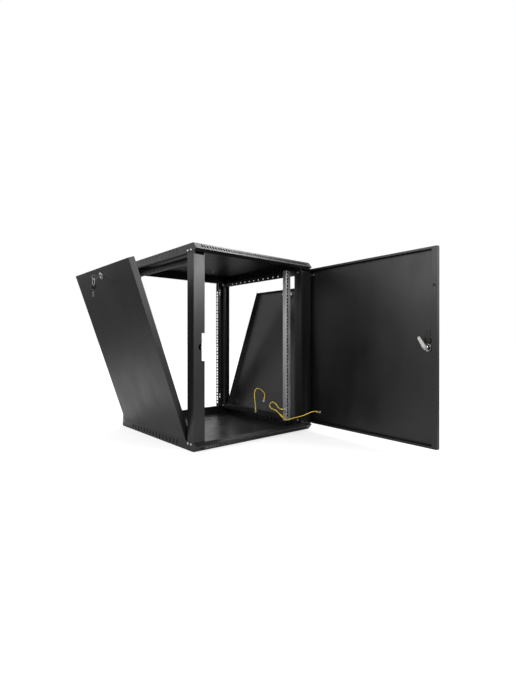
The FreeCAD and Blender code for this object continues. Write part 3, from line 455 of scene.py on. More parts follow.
def start_circle(sides, radius, filled=True):
    """A circle in the plane Z = 0, in edit mode and all selected. Its radius is in millimetres."""
    deselect()
    bpy.ops.mesh.primitive_circle_add(vertices=sides, radius=radius * MM,
                                      fill_type="NGON" if filled else "NOTHING")
    bpy.ops.object.mode_set(mode="EDIT")
    bpy.ops.mesh.select_mode(type="VERT")
    bpy.ops.mesh.select_all(action="SELECT")
    return bpy.context.object


def move(x=0.0, y=0.0, z=0.0):
    """Moves what is selected, in millimetres."""
    bpy.ops.transform.translate(value=(x * MM, y * MM, z * MM))


def spread(x=1.0, y=1.0, z=1.0, about=(0, 0, 0)):
    """Scales what is selected about a point in millimetres."""
    bpy.ops.transform.resize(value=(x, y, z), center_override=Vector(about) * MM)


def turn(angle, axis):
    """Turns what is selected by degrees about an axis through the origin."""
    bpy.ops.transform.rotate(value=math.radians(angle), orient_axis=axis, center_override=(0, 0, 0))


def pick_open_edges():
    """Selects the edges at which the mesh in edit mode is open."""
    bpy.ops.mesh.select_mode(type="EDGE")
    bpy.ops.mesh.select_all(action="DESELECT")
    bpy.ops.mesh.select_non_manifold()


def turned(profile, sides=32, hollow=False):
    """A piece turned about Z through (radius, height) points in millimetres, closed on itself if hollow."""
    piece = start_circle(sides, profile[0][0], not hollow)
    move(z=profile[0][1])
    for (radius, height), (next_radius, next_height) in zip(profile, profile[1:]):
        bpy.ops.mesh.extrude_region_move()
        move(z=next_height - height)
        spread(next_radius / radius, next_radius / radius)
    if hollow:
        pick_open_edges()
        bpy.ops.mesh.bridge_edge_loops()
    return finish_editing(piece)


def finish_editing(piece):
    """Points a closed mesh's normals outward and leaves edit mode."""
    bpy.ops.mesh.select_all(action="SELECT")
    bpy.ops.mesh.normals_make_consistent(inside=False)
    bpy.ops.object.mode_set(mode="OBJECT")
    return piece


def block(x0, x1, y0, y1, z0, z1):
    """A block between two corners, in millimetres."""
    deselect()
    centre = Vector((x0 + x1, y0 + y1, z0 + z1)) * MM / 2
    bpy.ops.mesh.primitive_cube_add(size=1, location=centre)
    piece = bpy.context.object
    piece.scale = Vector((x1 - x0, y1 - y0, z1 - z0)) * MM
    bpy.ops.object.transform_apply(location=True, rotation=True, scale=True)
    return piece


def pick(piece, test, kind="FACE"):
    """Selects the faces, edges or vertices in edit mode whose centre passes a test in millimetres."""
    bpy.ops.mesh.select_mode(type=kind)
    bpy.ops.mesh.select_all(action="DESELECT")
    mesh = bmesh.from_edit_mesh(piece.data)
    for item in {"FACE": mesh.faces, "EDGE": mesh.edges, "VERT": mesh.verts}[kind]:
        points = [item] if kind == "VERT" else item.verts
        centre = sum((point.co for point in points), Vector()) / len(points)
        if test(centre / MM):
            item.select_set(True)
    mesh.select_flush_mode()
    bmesh.update_edit_mesh(piece.data)


def edit(piece):
    """Opens one piece for editing."""
    activate(piece)
    bpy.ops.object.mode_set(mode="EDIT")
    bpy.ops.mesh.select_all(action="SELECT")


def thicken(piece, z):
    """Makes the flat piece in edit mode a plate of this thickness in millimetres, and leaves edit mode."""
    bpy.ops.mesh.select_mode(type="FACE")
    bpy.ops.mesh.select_all(action="SELECT")
    bpy.ops.mesh.extrude_region_move()
    move(z=z)
    return finish_editing(piece)


def shift(piece, x=0.0, y=0.0, z=0.0, first=Matrix()):
    """Moves a piece's mesh in millimetres, after a first turn or move."""
    piece.data.transform(Matrix.Translation((x * MM, y * MM, z * MM)) @ first)
    return piece


def cut(piece, *cutters, operation="DIFFERENCE"):
    """Cuts other pieces out of a piece, or joins them to it, and removes them."""
    for cutter in cutters:
        change = piece.modifiers.new("cut", "BOOLEAN")
        change.operation = operation
        change.solver = "EXACT"
        change.object = cutter
        apply_modifiers(piece)
        bpy.data.objects.remove(cutter)
    return piece


def ease(piece, width, segments=2, angle=35):
    """Rounds a piece's sharp edges by a width in millimetres and smooths the rest."""
    return rounded(piece, "ANGLE", width * MM, segments, angle)


def gather(pieces):
    """Joins pieces into the first."""
    deselect()
    for piece in pieces:
        piece.select_set(True)
    bpy.context.view_layer.objects.active = pieces[0]
    bpy.ops.object.join()
    return pieces[0]


def coil(section, turns, pitch, steps):
    """A coil about Z: the section in edit mode in the XZ plane, wound upward, its ends closed."""
    bpy.ops.object.mode_set(mode="OBJECT")
    wind = section.modifiers.new("wind", "SCREW")
    wind.axis = "Z"
    wind.iterations = 1
    wind.angle = 2 * math.pi * turns
    wind.screw_offset = pitch * turns * MM
    wind.steps = int(steps * turns)
    wind.render_steps = int(steps * turns)
    wind.use_smooth_shade = True
    apply_modifiers(section)
    edit(section)
    pick_open_edges()
    bpy.ops.mesh.edge_face_add()
    return finish_editing(section)


def set_down(model, places, name, finish, node):
    """Puts a copy of a model at each place in a node's stead, and removes the model."""
    for number, place in enumerate(places, 1):
        label = name if len(places) == 1 else "%s_%d" % (name, number)
        dress(own_copy(model, place), label, finish, node)
    bpy.data.objects.remove(model)


def islands(node):
    """The low and high corner of each separate solid of a node, in the order of their places."""
    mesh = welded_mesh(NODES[node].data)
    left = set(mesh.verts)
    found = []
    while left:
        front = [left.pop()]
        island = list(front)
        while front:
            vertex = front.pop()
            for edge in vertex.link_edges:
                other = edge.other_vert(vertex)
                if other in left:
                    left.remove(other)
                    front.append(other)
                    island.append(other)
        places = [vertex.co for vertex in island]
        found.append(tuple(Vector(side(place[axis] for place in places) for axis in range(3))
                           for side in (min, max)))
    mesh.free()
    return sorted(found, key=lambda box: tuple(box[0]))


def thin_axis(low, high):
    """The axis along which a box is thinnest."""
    size = high - low
    return min(range(3), key=lambda axis: size[axis])


def seats(node, side):
    """Where each flat piece of a node stands on its sheet: side is +1 if they face away from the middle."""
    middle = (CAD_BOX[0] + CAD_BOX[1]) / 2
    middle.x = middle.y = 0
    places = []
    for low, high in islands(node):
        axis = thin_axis(low, high)
        centre = (low + high) / 2
        outward = Vector()
        outward[axis] = side * math.copysign(1, centre[axis] - middle[axis])
        base = centre - outward * (high[axis] - low[axis]) / 2
        upward = UP if axis != 2 else Vector((0, 1, 0))
        places.append(upright_place(base, outward, upward))
    return places


# ---------------------------------------------------------------- earth leads

LEAD_ROUTES = {
    "earth_lead_panel": [(247.5, 0, 59), (247.5, 0, 71), (249, 5, 87), (252, 12, 107), (258, 20, 128),
                         (267, 25, 145), (281, 27, 152), (296, 25, 148), (309, 21, 139),
                         (319, 17.5, 127.5), (324.25, 14, 114.65), (320.35, 14, 103.31)],
    "earth_lead_rail": [(219.05, -208, 83), (219.05, -196, 83), (218.05, -187, 92), (216.05, -178, 103),
                        (212.05, -169, 110), (209.05, -158, 111), (205.05, -149, 103), (203.05, -149, 90),
                        (204.05, -159, 81), (206.05, -173, 80), (209.05, -187, 75),
                        (213.15, -198.84, 65.37), (214.05, -206, 60)],
    "earth_lead_door": [(216.05, -222, 48), (216.95, -229.16, 42.63), (218.05, -240, 40),
                        (224.05, -252, 43), (232.05, -263, 48), (239.05, -277, 53), (244.05, -292, 58),
                        (253.05, -309, 64), (267.05, -319, 71), (281.55, -327, 78),
                        (292.93, -337.11, 82.7), (292.31, -349.1, 82.7)],
}
LEAD_BLENDS = {"earth_lead_panel": "right_panel", "earth_lead_door": "door"}
TUBE_SIDES = 16


def route_curve(name, radius=0.0):
    """A smooth curve through a lead's route, with a round section if it has a radius."""
    data = bpy.data.curves.new(name, "CURVE")
    data.dimensions = "3D"
    data.resolution_u = 6
    data.bevel_depth = radius
    data.bevel_resolution = TUBE_SIDES // 4 - 1
    data.use_fill_caps = False
    route = LEAD_ROUTES[name]
    spline = data.splines.new("NURBS")
    spline.points.add(len(route) - 1)
    for point, place in zip(spline.points, route):
        point.co = (*(Vector(place) * MM), 1)
    spline.order_u = 3
    spline.use_endpoint_u = True
    return bpy.data.objects.new(name, data)


def as_mesh(source):
    """The mesh that a curve object makes."""
    bpy.context.scene.collection.objects.link(source)
    mesh = bpy.data.meshes.new_from_object(source.evaluated_get(bpy.context.evaluated_depsgraph_get()))
    bpy.data.objects.remove(source)
    return mesh


def lead_piece(name):
    """One earth lead as a closed tube, and its path. "around" says how far round the tube a point lies."""
    path = [vertex.co.copy() for vertex in as_mesh(route_curve(name)).vertices]
    mesh = as_mesh(route_curve(name, sizes().lead / 2))
    sides = len(mesh.vertices) // len(path)
    around = mesh.attributes.new("around", "FLOAT", "POINT")
    around.data.foreach_set("value", [i % sides / sides for i in range(len(mesh.vertices))])
    piece = bpy.data.objects.new(name, mesh)
    bpy.context.scene.collection.objects.link(piece)
    edit(piece)
    bpy.ops.mesh.fill_holes(sides=sides)
    return smooth(finish_editing(piece), 50), path


class CABINET_OT_leads(bpy.types.Operator):
    """Makes the three earth leads"""
    bl_idname = "cabinet.leads"
    bl_label = "Earth leads"

    def execute(self, context):
        for name in LEAD_ROUTES:
            piece, path = lead_piece(name)
            other = LEAD_BLENDS.get(name)
            dress(piece, name + "_tube", "lead", name, rides=not other)
            # A lead that ends on the panel or the door rides no body and keeps its place baked into its
            # mesh.
            if other:
                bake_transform(piece)
        return {"FINISHED"}


# ---------------------------------------------------------------- sheet metal

COVERS = ("base_pan", "top_cover", "cable_plate_base", "cable_plate_top")
FRAME_SHEETS = ("front_post_left", "front_post_right", "rear_beam_lower", "rear_beam_upper")
REAR_POSTS = ("rear_post_left", "rear_post_right")
DEPTH_BARS = ("depth_bar_lower_left", "depth_bar_lower_right",
              "depth_bar_upper_left", "depth_bar_upper_right")
FRONT_RAILS = ("rack_rail_front_left", "rack_rail_front_right")
REAR_RAILS = ("rack_rail_rear_left", "rack_rail_rear_right")
SHEET = 1.2
POST_SHEET = 1.5
POST_STRIP = 5.0
RACK_UNIT = 44.45
RACK_STEPS = (6.35, 22.225, 38.1)
RACK_COLUMN = 232.55
RACK_HOLE = 9.5
RAIL_FOOT = 34.125
RAIL_LEG = 247.0
BAR_WEB = 251.25
BAR_SQUARE = 4.1
BAR_FRONT = 30.0
BAR_BACK = 12.0
BAR_HOLES = 12
BAR_PITCH = 34.5
BAR_HOLE = 3.0
BAR_HOLE_DROP = 4.0
LIP_REACH = 11.0
LIP_CUT = 12.0
LOUVRES = 15
LOUVRE_PITCH = 27.0
LOUVRE_WIDTH = 9.0
LOUVRE_EDGE = 6.0
LOUVRE_LAP = 0.6
LOUVRE_DEPTH = 3.6
LOUVRE_WALL = 0.9
SKIRT = 31.0


def side_of(node):
    """+1 for a node on the right, -1 on the left."""
    return 1 if node.endswith("right") else -1


def square_holed(piece, node):
    """Gives a rear post's inner edge the column of square holes that carries equipment at the back."""
    side = side_of(node)
    low, high = corners(node)
    edge = low.x if side > 0 else high.x
    inner, outer = sorted((edge, edge - POST_STRIP * side))
    bottom = heights("rear_beam_lower")[1] + 1
    top = low.z + high.z - bottom
    strip = block(inner - 0.01, outer + 0.01, high.y - POST_SHEET, high.y, bottom, top)
    cut(piece, strip, operation="UNION")
    units = int((high.z - 2 * RAIL_FOOT) // RACK_UNIT)
    half = RACK_HOLE / 2
    middle = side * RACK_COLUMN
    places = [RAIL_FOOT + unit * RACK_UNIT + step for unit in range(units) for step in RACK_STEPS]
    cut(piece, gather([block(middle - half, middle + half, high.y - 6, high.y + 3, z - half, z + half)
                       for z in places if bottom + half < z < top - half]))


def short_lipped(piece, node):
    """Shortens a rear rail's inner lip, which is a narrow return at the back."""
    inner = min(abs(corner[0]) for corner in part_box(node)) / MM
    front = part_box(node)[0][1] / MM
    edit(piece)
    pick(piece, lambda place: abs(place.x) < inner + 3 and place.y < front + LIP_REACH, "VERT")
    move(y=LIP_CUT)
    bpy.ops.object.mode_set(mode="OBJECT")


def drilled(piece, node):
    """Closes the holes in a depth bar's web and drills its row of small round ones."""
    low, high = corners(node)
    middle = (low.z + high.z) / 2
    edit(piece)
    front = low.y + BAR_FRONT
    back = high.y - BAR_BACK
    pick(piece, lambda place: abs(place.z - middle) < BAR_SQUARE and front < place.y < back
         and abs(abs(place.x) - BAR_WEB) < 0.2)
    bpy.ops.mesh.delete(type="FACE")
    bpy.ops.mesh.select_all(action="SELECT")
    bpy.ops.mesh.fill_holes(sides=4)
    finish_editing(piece)
    height = middle - (BAR_HOLE_DROP if "upper" in node else 0)
    holes = []
    for number in range(BAR_HOLES):
        place = Vector((side_of(node) * BAR_WEB, (number + 0.5 - BAR_HOLES / 2) * BAR_PITCH, height)) * MM
        hole = turned([(BAR_HOLE, -4), (BAR_HOLE, 4)], 12)
        hole.data.transform(Matrix.Translation(place) @ ALONG_X)
        holes.append(hole)
    cut(piece, gather(holes))


def louvre():
    """A pressed hood behind one slot of a skirt: its base in the plane X = 0, its mouth towards +Y."""
    half = LOUVRE_WIDTH / 2 + LOUVRE_LAP
    tall = (SKIRT - 2 * LOUVRE_EDGE) / 2 + LOUVRE_LAP
    hood = block(0, LOUVRE_DEPTH, -half, half, -tall, tall)
    edit(hood)
    pick(hood, lambda place: place.x > LOUVRE_DEPTH - 0.1)
    spread(1, 0.86, 0.86, (LOUVRE_DEPTH, 0, 0))
    move(y=0.7)
    pick(hood, lambda place: place.x < 0.1 or place.y > half - 0.9)
    bpy.ops.mesh.delete(type="FACE")
    bpy.ops.object.mode_set(mode="OBJECT")
    wall = hood.modifiers.new("wall", "SOLIDIFY")
    wall.thickness = LOUVRE_WALL * MM
    wall.offset = -1
    apply_modifiers(hood)
    return hood


class CABINET_OT_sheets(bpy.types.Operator):
    """Rounds the folds of the covers, posts, beams, bars and rails, and gives them their fine holes"""
    bl_idname = "cabinet.sheets"
    bl_label = "Frame sheets"

    def execute(self, context):
        for node in COVERS + FRAME_SHEETS:
            sheet_copy(node, "paint")
        for node in REAR_POSTS:
            sheet_copy(node, "paint", reshape=square_holed)
        for node in DEPTH_BARS:
            sheet_copy(node, "paint", reshape=drilled)
        for node in FRONT_RAILS:
            rail = sheet_copy(node, "rail")
            # The leg that is bolted to the depth bars lies in shadow and is given the frame's black paint as
            # painted shade, so that the rail's holes show dark.
            rail.data.materials.append(MATERIALS["paint"])
            for face in rail.data.polygons:
                face.material_index = int(abs(face.center.x) > RAIL_LEG * MM)
        for node in REAR_RAILS:
            sheet_copy(node, "paint", reshape=short_lipped)
        self.louvres()
        return {"FINISHED"}

    def louvres(self):
        """The hoods behind the side slots of the base and the top."""
        inner_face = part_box("base_pan")[1][0] - SHEET * MM
        model = louvre()
        for node, height in (("base_pan", SKIRT / 2 * MM), ("top_cover", CAD_BOX[1].z - SKIRT / 2 * MM)):
            for side, ending in ((-1, "left"), (1, "right")):
                hoods = []
                for number in range(LOUVRES):
                    along = (number - LOUVRES // 2) * LOUVRE_PITCH * MM
                    place = Matrix.Translation((side * inner_face, along, height))
                    hoods.append(own_copy(model, place @ Matrix.Diagonal((-side, side, 1, 1))))
                piece = gather(hoods)
                edit(piece)
                ease(finish_editing(piece), 0.5)
                dress(piece, "%s_louvres_%s" % (node, ending), "paint", node)
        bpy.data.objects.remove(model)


class CABINET_OT_door(bpy.types.Operator):
    """Rounds the door tray and its pin's bracket"""
    bl_idname = "cabinet.door"
    bl_label = "Door"

    def execute(self, context):
        sheet_copy("door_panel", "paint", 3)
        sheet_copy("door_pin_bracket", "paint")
        return {"FINISHED"}


class CABINET_OT_panels(bpy.types.Operator):
    """Rounds both side panels"""
    bl_idname = "cabinet.panels"
    bl_label = "Side panels"

    def execute(self, context):
        for node in ("left_side_panel", "right_side_panel"):
            sheet_copy(node, "paint", 3)
        return {"FINISHED"}


# ---------------------------------------------------------------- fasteners and hinges

SCREW_RADIUS = 4.5
SCREW_HEIGHT = 2.2
BOLT_FLATS = 10.0
BOLT_HEAD = 4.0
BOLT_RADIUS = 3.0
HINGE_PIN = 3.0
PIN_COLLAR = 4.0
PIN_COLLAR_HEIGHT = 2.0
LEVER = 2.4
ELBOW = 3.0
SPRING_TURNS = 6
BUSH = 4.4
BUSH_BORE = HINGE_PIN + 0.06
GUIDE_SHEET = 1.5


def pan_screw():
    """A pan-head screw's head with a cross recess."""
    radius = SCREW_RADIUS
    head = turned([(radius - 0.3, 0), (radius, 0.3), (radius, 0.9), (radius - 0.3, 1.5),
                   (radius - 1.1, 1.95), (radius - 2.3, SCREW_HEIGHT), (1.0, SCREW_HEIGHT + 0.05)], 28)
    half = sizes().recess / MM / 2
    bars = []
    for angle in (0, 90):
        bar = block(-half, half, -2.6, 2.6, 0.6, SCREW_HEIGHT + 1)
        edit(bar)
        pick(bar, lambda centre: centre.z < 1)
        spread(0.6, 0.45, 1, (0, 0, 0.6))
        bpy.ops.mesh.select_all(action="SELECT")
        turn(angle, "Z")
        bars.append(finish_editing(bar))
    return smooth(cut(head, *bars), 30)


def hexagon(across, low, high, chamfer=0.5):
    """A six-sided nut or head between two heights, its outer corners chamfered."""
    corner = across / math.sqrt(3)
    return turned([(corner - chamfer, low), (corner, low + chamfer * 0.55), (corner, high - chamfer * 0.55),
                   (corner - chamfer, high)], 6)


def threaded(radius, low, high, pitch=0.8):
    """A threaded bar between two heights: a core with one ridge wound round it."""
    core = turned([(radius - 0.8, low), (radius - 0.3, low + 0.4), (radius - 0.3, high - 0.4),
                   (radius - 0.8, high)], 24)
    ridge = start_circle(3, 0.36)
    turn(90, "X")
    move(x=radius - 0.33, z=low + 0.6)
    bpy.ops.mesh.delete(type="ONLY_FACE")
    return gather([core, coil(ridge, (high - low - 1.2) / pitch, pitch, 24)])


def rail_bolt(length):
    """A hexagon bolt with washer and nut, its head's top at height 0 and its nut below."""
    head = hexagon(BOLT_FLATS, -BOLT_HEAD, 0)
    shank = turned([(BOLT_RADIUS, -length + 0.3), (BOLT_RADIUS, -BOLT_HEAD)], 24)
    nut = hexagon(BOLT_FLATS, -length, -length + BOLT_HEAD)
    return smooth(gather([head, shank, nut]))


def hinge_axis(height=0.0):
    """The place on the door's hinge line at a height in millimetres."""
    x, y, _ = joint_point("door_hinge")
    return Matrix.Translation((x, y, height * MM))


def lower_pin(length, collar):
    """The lower hinge pin, its foot at height 0 and its collar at a height."""
    top = collar + PIN_COLLAR_HEIGHT
    return turned([(HINGE_PIN - 0.8, 0), (HINGE_PIN, 0.8), (HINGE_PIN, collar), (PIN_COLLAR - 0.3, collar),
                   (PIN_COLLAR, collar + 0.3), (PIN_COLLAR, top - 0.3), (PIN_COLLAR - 0.3, top),
                   (HINGE_PIN, top), (HINGE_PIN, length - 0.5), (HINGE_PIN - 0.5, length)])


def upper_pin(length, collar, lever):
    """The sprung hinge pin: a round bar bent over at its foot into a lever along -X."""
    bend = LEVER + ELBOW
    top = collar + PIN_COLLAR_HEIGHT
    pin = start_circle(24, LEVER)
    turn(180, "Y")
    move(z=bend)
    bpy.ops.mesh.spin(steps=6, angle=math.radians(-90), center=(-ELBOW * MM, 0, bend * MM), axis=(0, 1, 0))
    bpy.ops.mesh.extrude_region_move()
    move(x=ELBOW - lever + 0.6)
    bpy.ops.mesh.extrude_region_move()
    move(x=-0.6)
    spread(1, 0.75, 0.75, (-lever, 0, LEVER))
    finish_editing(pin)
    upright = turned([(LEVER, bend), (HINGE_PIN, bend + 1), (HINGE_PIN, collar), (PIN_COLLAR, collar + 0.3),
                      (PIN_COLLAR, top), (HINGE_PIN, top), (HINGE_PIN, length - 1.2),
                      (HINGE_PIN - 1.1, length)])
    return smooth(gather([pin, upright]), 40)


def spring(low, high):
    """The sprung pin's coil spring between two heights."""
    wire = sizes().spring_wire / MM
    section = start_circle(10, wire / 2, False)
    turn(90, "X")
    move(x=PIN_COLLAR - wire / 2, z=low + wire / 2)
    return coil(section, SPRING_TURNS, (high - low - wire) / SPRING_TURNS, 28)


class CABINET_OT_fasteners(bpy.types.Operator):
    """Makes screws, bolts, hinge pins, bushes, spring, bumpers and buffer"""
    bl_idname = "cabinet.fasteners"
    bl_label = "Fasteners and hinges"

    def execute(self, context):
        for node, side in (("cover_screws", 1), ("bar_screws", -1), ("plate_screws", -1)):
            set_down(pan_screw(), seats(node, side), node[:-1] + "_head", "zinc", node)
        places = []
        for low, high in islands("rail_bolts"):
            outward = Vector((-math.copysign(1, low.x), 0, 0))
            places.append(upright_place((low + high) / 2 + outward * (high.x - low.x) / 2, outward))
        set_down(rail_bolt((high.x - low.x) / MM), places, "rail_bolt", "zinc", "rail_bolts")
        self.hinges()
        self.rubber()
        return {"FINISHED"}

    def hinges(self):
        """The pins, the spring and the bushes on the hinge line."""
        low, high = heights("door_hinge_pin_lower")
        collar = heights("door_panel")[0] + SHEET - low
        set_down(lower_pin(high - low, collar), [hinge_axis(low)], "door_pin_fixed", "zinc",
                 "door_hinge_pin_lower")
        spring_low, spring_high = heights("door_pin_spring")
        low, high = heights("door_hinge_pin_upper")
        reach = (joint_point("door_hinge").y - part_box("door_hinge_pin_upper")[0][1]) / MM
        closed = math.radians(-JOINTS["door_hinge"]["range_deg"][0])
        set_down(upper_pin(high - low, spring_high - low, reach),
                 [hinge_axis(low) @ Matrix.Rotation(closed, 4, "Z")],
                 "door_pin_sprung", "zinc", "door_hinge_pin_upper")
        coils = spring(spring_low, spring_high)
        coils.data.transform(hinge_axis())
        dress(coils, "door_pin_coils", "zinc", "door_pin_spring")
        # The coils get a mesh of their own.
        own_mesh(coils)
        for node, flip in (("hinge_bush_lower", 0), ("hinge_bush_upper", math.pi)):
            low, high = heights(node)
            length = high - low
            bush = turned([(BUSH_BORE, 0), (BUSH, 0), (BUSH, 2.4), (BUSH + 1.2, 2.4), (BUSH + 1.2, 3.2),
                           (BUSH, 3.4), (BUSH, length - 0.4), (BUSH - 0.4, length), (BUSH_BORE, length)],
                          32, True)
            place = hinge_axis(high if flip else low) @ Matrix.Rotation(flip, 4, "X")
            set_down(smooth(bush), [place], node + "_liner", "plastic", node)

    def rubber(self):
        """The bumpers on the door's lip, the buffer and the guide on its inner face."""
        inward = -Vector(JOINTS["door_lock_turn"]["axis"])
        for node, radius, height in (("door_bumpers", 5.0, 1.7), ("door_buffer", 9.0, 5.0)):
            pad = turned([(radius - 0.2, 0), (radius, 0.3), (radius * 0.94, height * 0.7),
                          (radius * 0.8, height * 0.92), (radius * 0.4, height)])
            places = [upright_place((low + high) / 2 - inward * height * MM / 2, inward)
                      for low, high in islands(node)]
            set_down(smooth(pad, 50), places, node + "_pad", "rubber", node)
        plate = block(-8, 8, -11, 11, 0, GUIDE_SHEET)
        for y in (-5, 5):
            cut(plate, shift(turned([(3.5, -1), (3.5, 3)]), y=y))
        low, high = (Vector(corner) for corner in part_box("door_guide"))
        place = upright_place((low + high) / 2 - inward * GUIDE_SHEET / 2 * MM, inward)
        set_down(ease(plate, 0.3), [place], "door_guide_plate", "paint", "door_guide")


# ---------------------------------------------------------------- locks and keys

BARREL = 9.5
BARREL_LENGTH = 17.0
BARREL_FLANGE = 13.0
PLUG = 7.0
PLUG_NECK = 6.0
PLUG_FACE = 2.0
LOCK_NUT = 24.0
LOCK_NUT_HEIGHT = 4.0
CAM_SHEET = 2.5
CAM_HALF = 7.0
CAM_TAPER = 0.8
CAM_SEAT = 3.5
RIB_INSET = 11.0
KEY_SHEET = 2.0
KEY_SHANK = 8.0
KEY_BOW = 11.0
KEY_NECK = 12.0
KEY_HOLE = 4.0
RING_RADIUS = 12.0
RING_HALF = 1.0
RING_WIRE = 0.38
RING_PITCH = 0.78
SPARE_HEAD = 10.0
SPARE_SHEET = 4.0
SPARE_HOLE = 3.5
SPARE_BLADE = 27.0
KEY_CUTS = (1.1, 2.2, 0.7, 1.8, 1.3, 2.4)
LOCKS = {"door": 1, "left": -1, "right": 1}


def cam_points(lock):
    """The corners of a lock's cam."""
    return [Vector(vertex.co) for vertex in NODES[lock + "_lock_cam"].data.vertices]


def lock_frame(lock):
    """A lock's point on the sheet, its outward direction and its cam's direction."""
    name = lock + "_lock_turn"
    at = joint_point(name)
    outward = Vector(JOINTS[name]["axis"]).normalized() * LOCKS[lock]
    points = cam_points(lock)
    away = sum(points, Vector()) / len(points) - at
    return at, outward, (away - outward * away.dot(outward)).normalized()


def lock_barrel():
    """The barrel: domed flange outside, threaded shell inside, open for the plug."""
    root = BARREL - 0.5
    shell = turned([(PLUG + 0.1, -BARREL_LENGTH), (BARREL - 1.0, -BARREL_LENGTH),
                    (root, -BARREL_LENGTH + 0.5), (root, -0.2), (BARREL, 0), (BARREL_FLANGE - 0.4, 0),
                    (BARREL_FLANGE, 0.4), (BARREL_FLANGE, 1.1), (BARREL_FLANGE - 0.7, 1.7), (BARREL, 2.0),
                    (PLUG + 0.6, 2.0), (PLUG + 0.1, 1.6)], 48, True)
    ridge = start_circle(3, 0.5, False)
    turn(90, "X")
    move(x=root + 0.05, z=-BARREL_LENGTH + 0.8)
    return smooth(gather([shell, coil(ridge, 14, 1.1, 36)]))


def lock_plug(depth):
    """The plug: face with keyway, neck, and the screw that holds the cam on its square."""
    body = turned([(PLUG_NECK, -depth), (PLUG_NECK, -BARREL_LENGTH), (PLUG, -BARREL_LENGTH), (PLUG, 1.3),
                   (PLUG - 0.3, 1.7), (PLUG - 2, 1.8)], 40)
    cut(body, block(-1.2, 1.2, -KEY_SHANK / 2, KEY_SHANK / 2, -2, 3))
    end = -depth - CAM_SHEET
    seat = block(-CAM_SEAT, CAM_SEAT, -CAM_SEAT, CAM_SEAT, end, -depth)
    washer = turned([(5.2, end - 0.8), (5.2, end)])
    head = hexagon(7, end - 3.2, end - 0.8, 0.4)
    return smooth(gather([body, seat, washer, head]))


def lock_nut():
    """The nut that clamps the barrel, with a flanged face."""
    low = -SHEET - LOCK_NUT_HEIGHT
    nut = hexagon(LOCK_NUT, low, -SHEET, 0.9)
    cut(nut, turned([(BARREL + 0.05, low - 1), (BARREL + 0.05, 1)], 48))
    return ease(nut, 0.15, 1)


def lock_cam(length):
    """A pressed cam with its top in the plane Z = 0, its tongue along +Y with a rounded tip."""
    plate = start_circle(40, CAM_HALF)
    pick(plate, lambda centre: centre.y > 0.01, "VERT")
    move(y=length - CAM_HALF)
    spread(CAM_TAPER, 1, 1, (0, length - CAM_HALF, 0))
    thicken(plate, -CAM_SHEET)
    hole = CAM_SEAT + 0.05
    cut(plate, block(-hole, hole, -hole, hole, -CAM_SHEET - 1, 1))
    # A stiffening rib pressed along the tongue.
    rib = turned([(1.6, -0.4), (1.3, 0.3), (0.6, 0.55)], 20)
    edit(rib)
    pick(rib, lambda centre: centre.y > 0.01, "VERT")
    move(y=length - 2 * RIB_INSET)
    shift(finish_editing(rib), y=RIB_INSET)
    return smooth(gather([ease(plate, 0.35), rib]))


class CABINET_OT_locks(bpy.types.Operator):
    """Makes the three locks"""
    bl_idname = "cabinet.locks"
    bl_label = "Locks"

    def execute(self, context):
        for lock in LOCKS:
            at, outward, tongue = lock_frame(lock)
            depth = min(-(point - at).dot(outward) for point in cam_points(lock)) / MM
            reach = max((point - at).dot(tongue) for point in cam_points(lock)) / MM
            place = upright_place(at, outward)
            cam_place = upright_place(at - outward * depth * MM, outward, tongue)
            # The keyway lies along the door's cam and across the side panels' cams.
            key_way = tongue if lock == "door" else outward.cross(tongue)
            pieces = (("barrel", lock_barrel(), place, "chrome"),
                      ("nut", lock_nut(), place, "chrome"),
                      ("plug", lock_plug(depth), upright_place(at, outward, key_way), "chrome"),
                      ("cam", lock_cam(reach - CAM_HALF + CAM_HALF * CAM_TAPER), cam_place, "cam"))
            for part, piece, where, finish in pieces:
                node = "%s_lock_%s" % (lock, part)
                set_down(piece, [where], node + "_fine", finish, node)
        return {"FINISHED"}


def key_blade(length):
    """A key's blade along -Z from the origin, in the plane X = 0, its cuts along one edge."""
    half = KEY_SHANK / 2 - 0.3
    blade = block(-KEY_SHEET / 2, KEY_SHEET / 2, -half, half, -length, 0)
    steps = 2 * len(KEY_CUTS) + 2
    step = length / (steps + 1)
    edit(blade)
    pick(blade, lambda centre: abs(centre.x) > 0.1 and abs(centre.z + length / 2) < 0.1, "EDGE")
    bpy.ops.mesh.subdivide(number_cuts=steps)
    for number, depth in enumerate(KEY_CUTS):
        height = -step * (2 * number + 2.5)
        pick(blade, lambda centre: centre.y > 0 and abs(centre.z - height) < 0.6 * step, "VERT")
        move(y=-depth)
    pick(blade, lambda centre: centre.z < -length + 0.1, "VERT")
    spread(1, 0.45, 1, (0, -half * 0.2, -length))
    return finish_editing(blade)


def flat_key():
    """The key in the lock: bow, neck and hole in the plane X = 0, the plug's face at PLUG_FACE."""
    middle = PLUG_FACE + KEY_NECK + KEY_BOW
    half = KEY_SHEET / 2
    bow = shift(turned([(KEY_BOW, -half), (KEY_BOW, half)], 48), z=middle, first=ALONG_X)
    neck = block(-half + 0.05, half - 0.05, -KEY_SHANK / 2 + 0.3, KEY_SHANK / 2 - 0.3, -0.6, middle - 3)
    cut(bow, neck, operation="UNION")
    hole = turned([(KEY_HOLE + 0.5, -3), (KEY_HOLE + 0.5, 3)])
    cut(bow, shift(hole, z=middle + KEY_BOW - KEY_HOLE - 2 * RING_HALF, first=ALONG_X))
    # A shallow panel pressed into each side of the bow.
    for side in (-1, 1):
        press = shift(turned([(6.0, 0), (6.0, 1)]), z=-0.5)
        cut(bow, shift(press, side * (half + 0.25), z=middle - 2.5, first=ALONG_X))
    return ease(bow, 0.25)


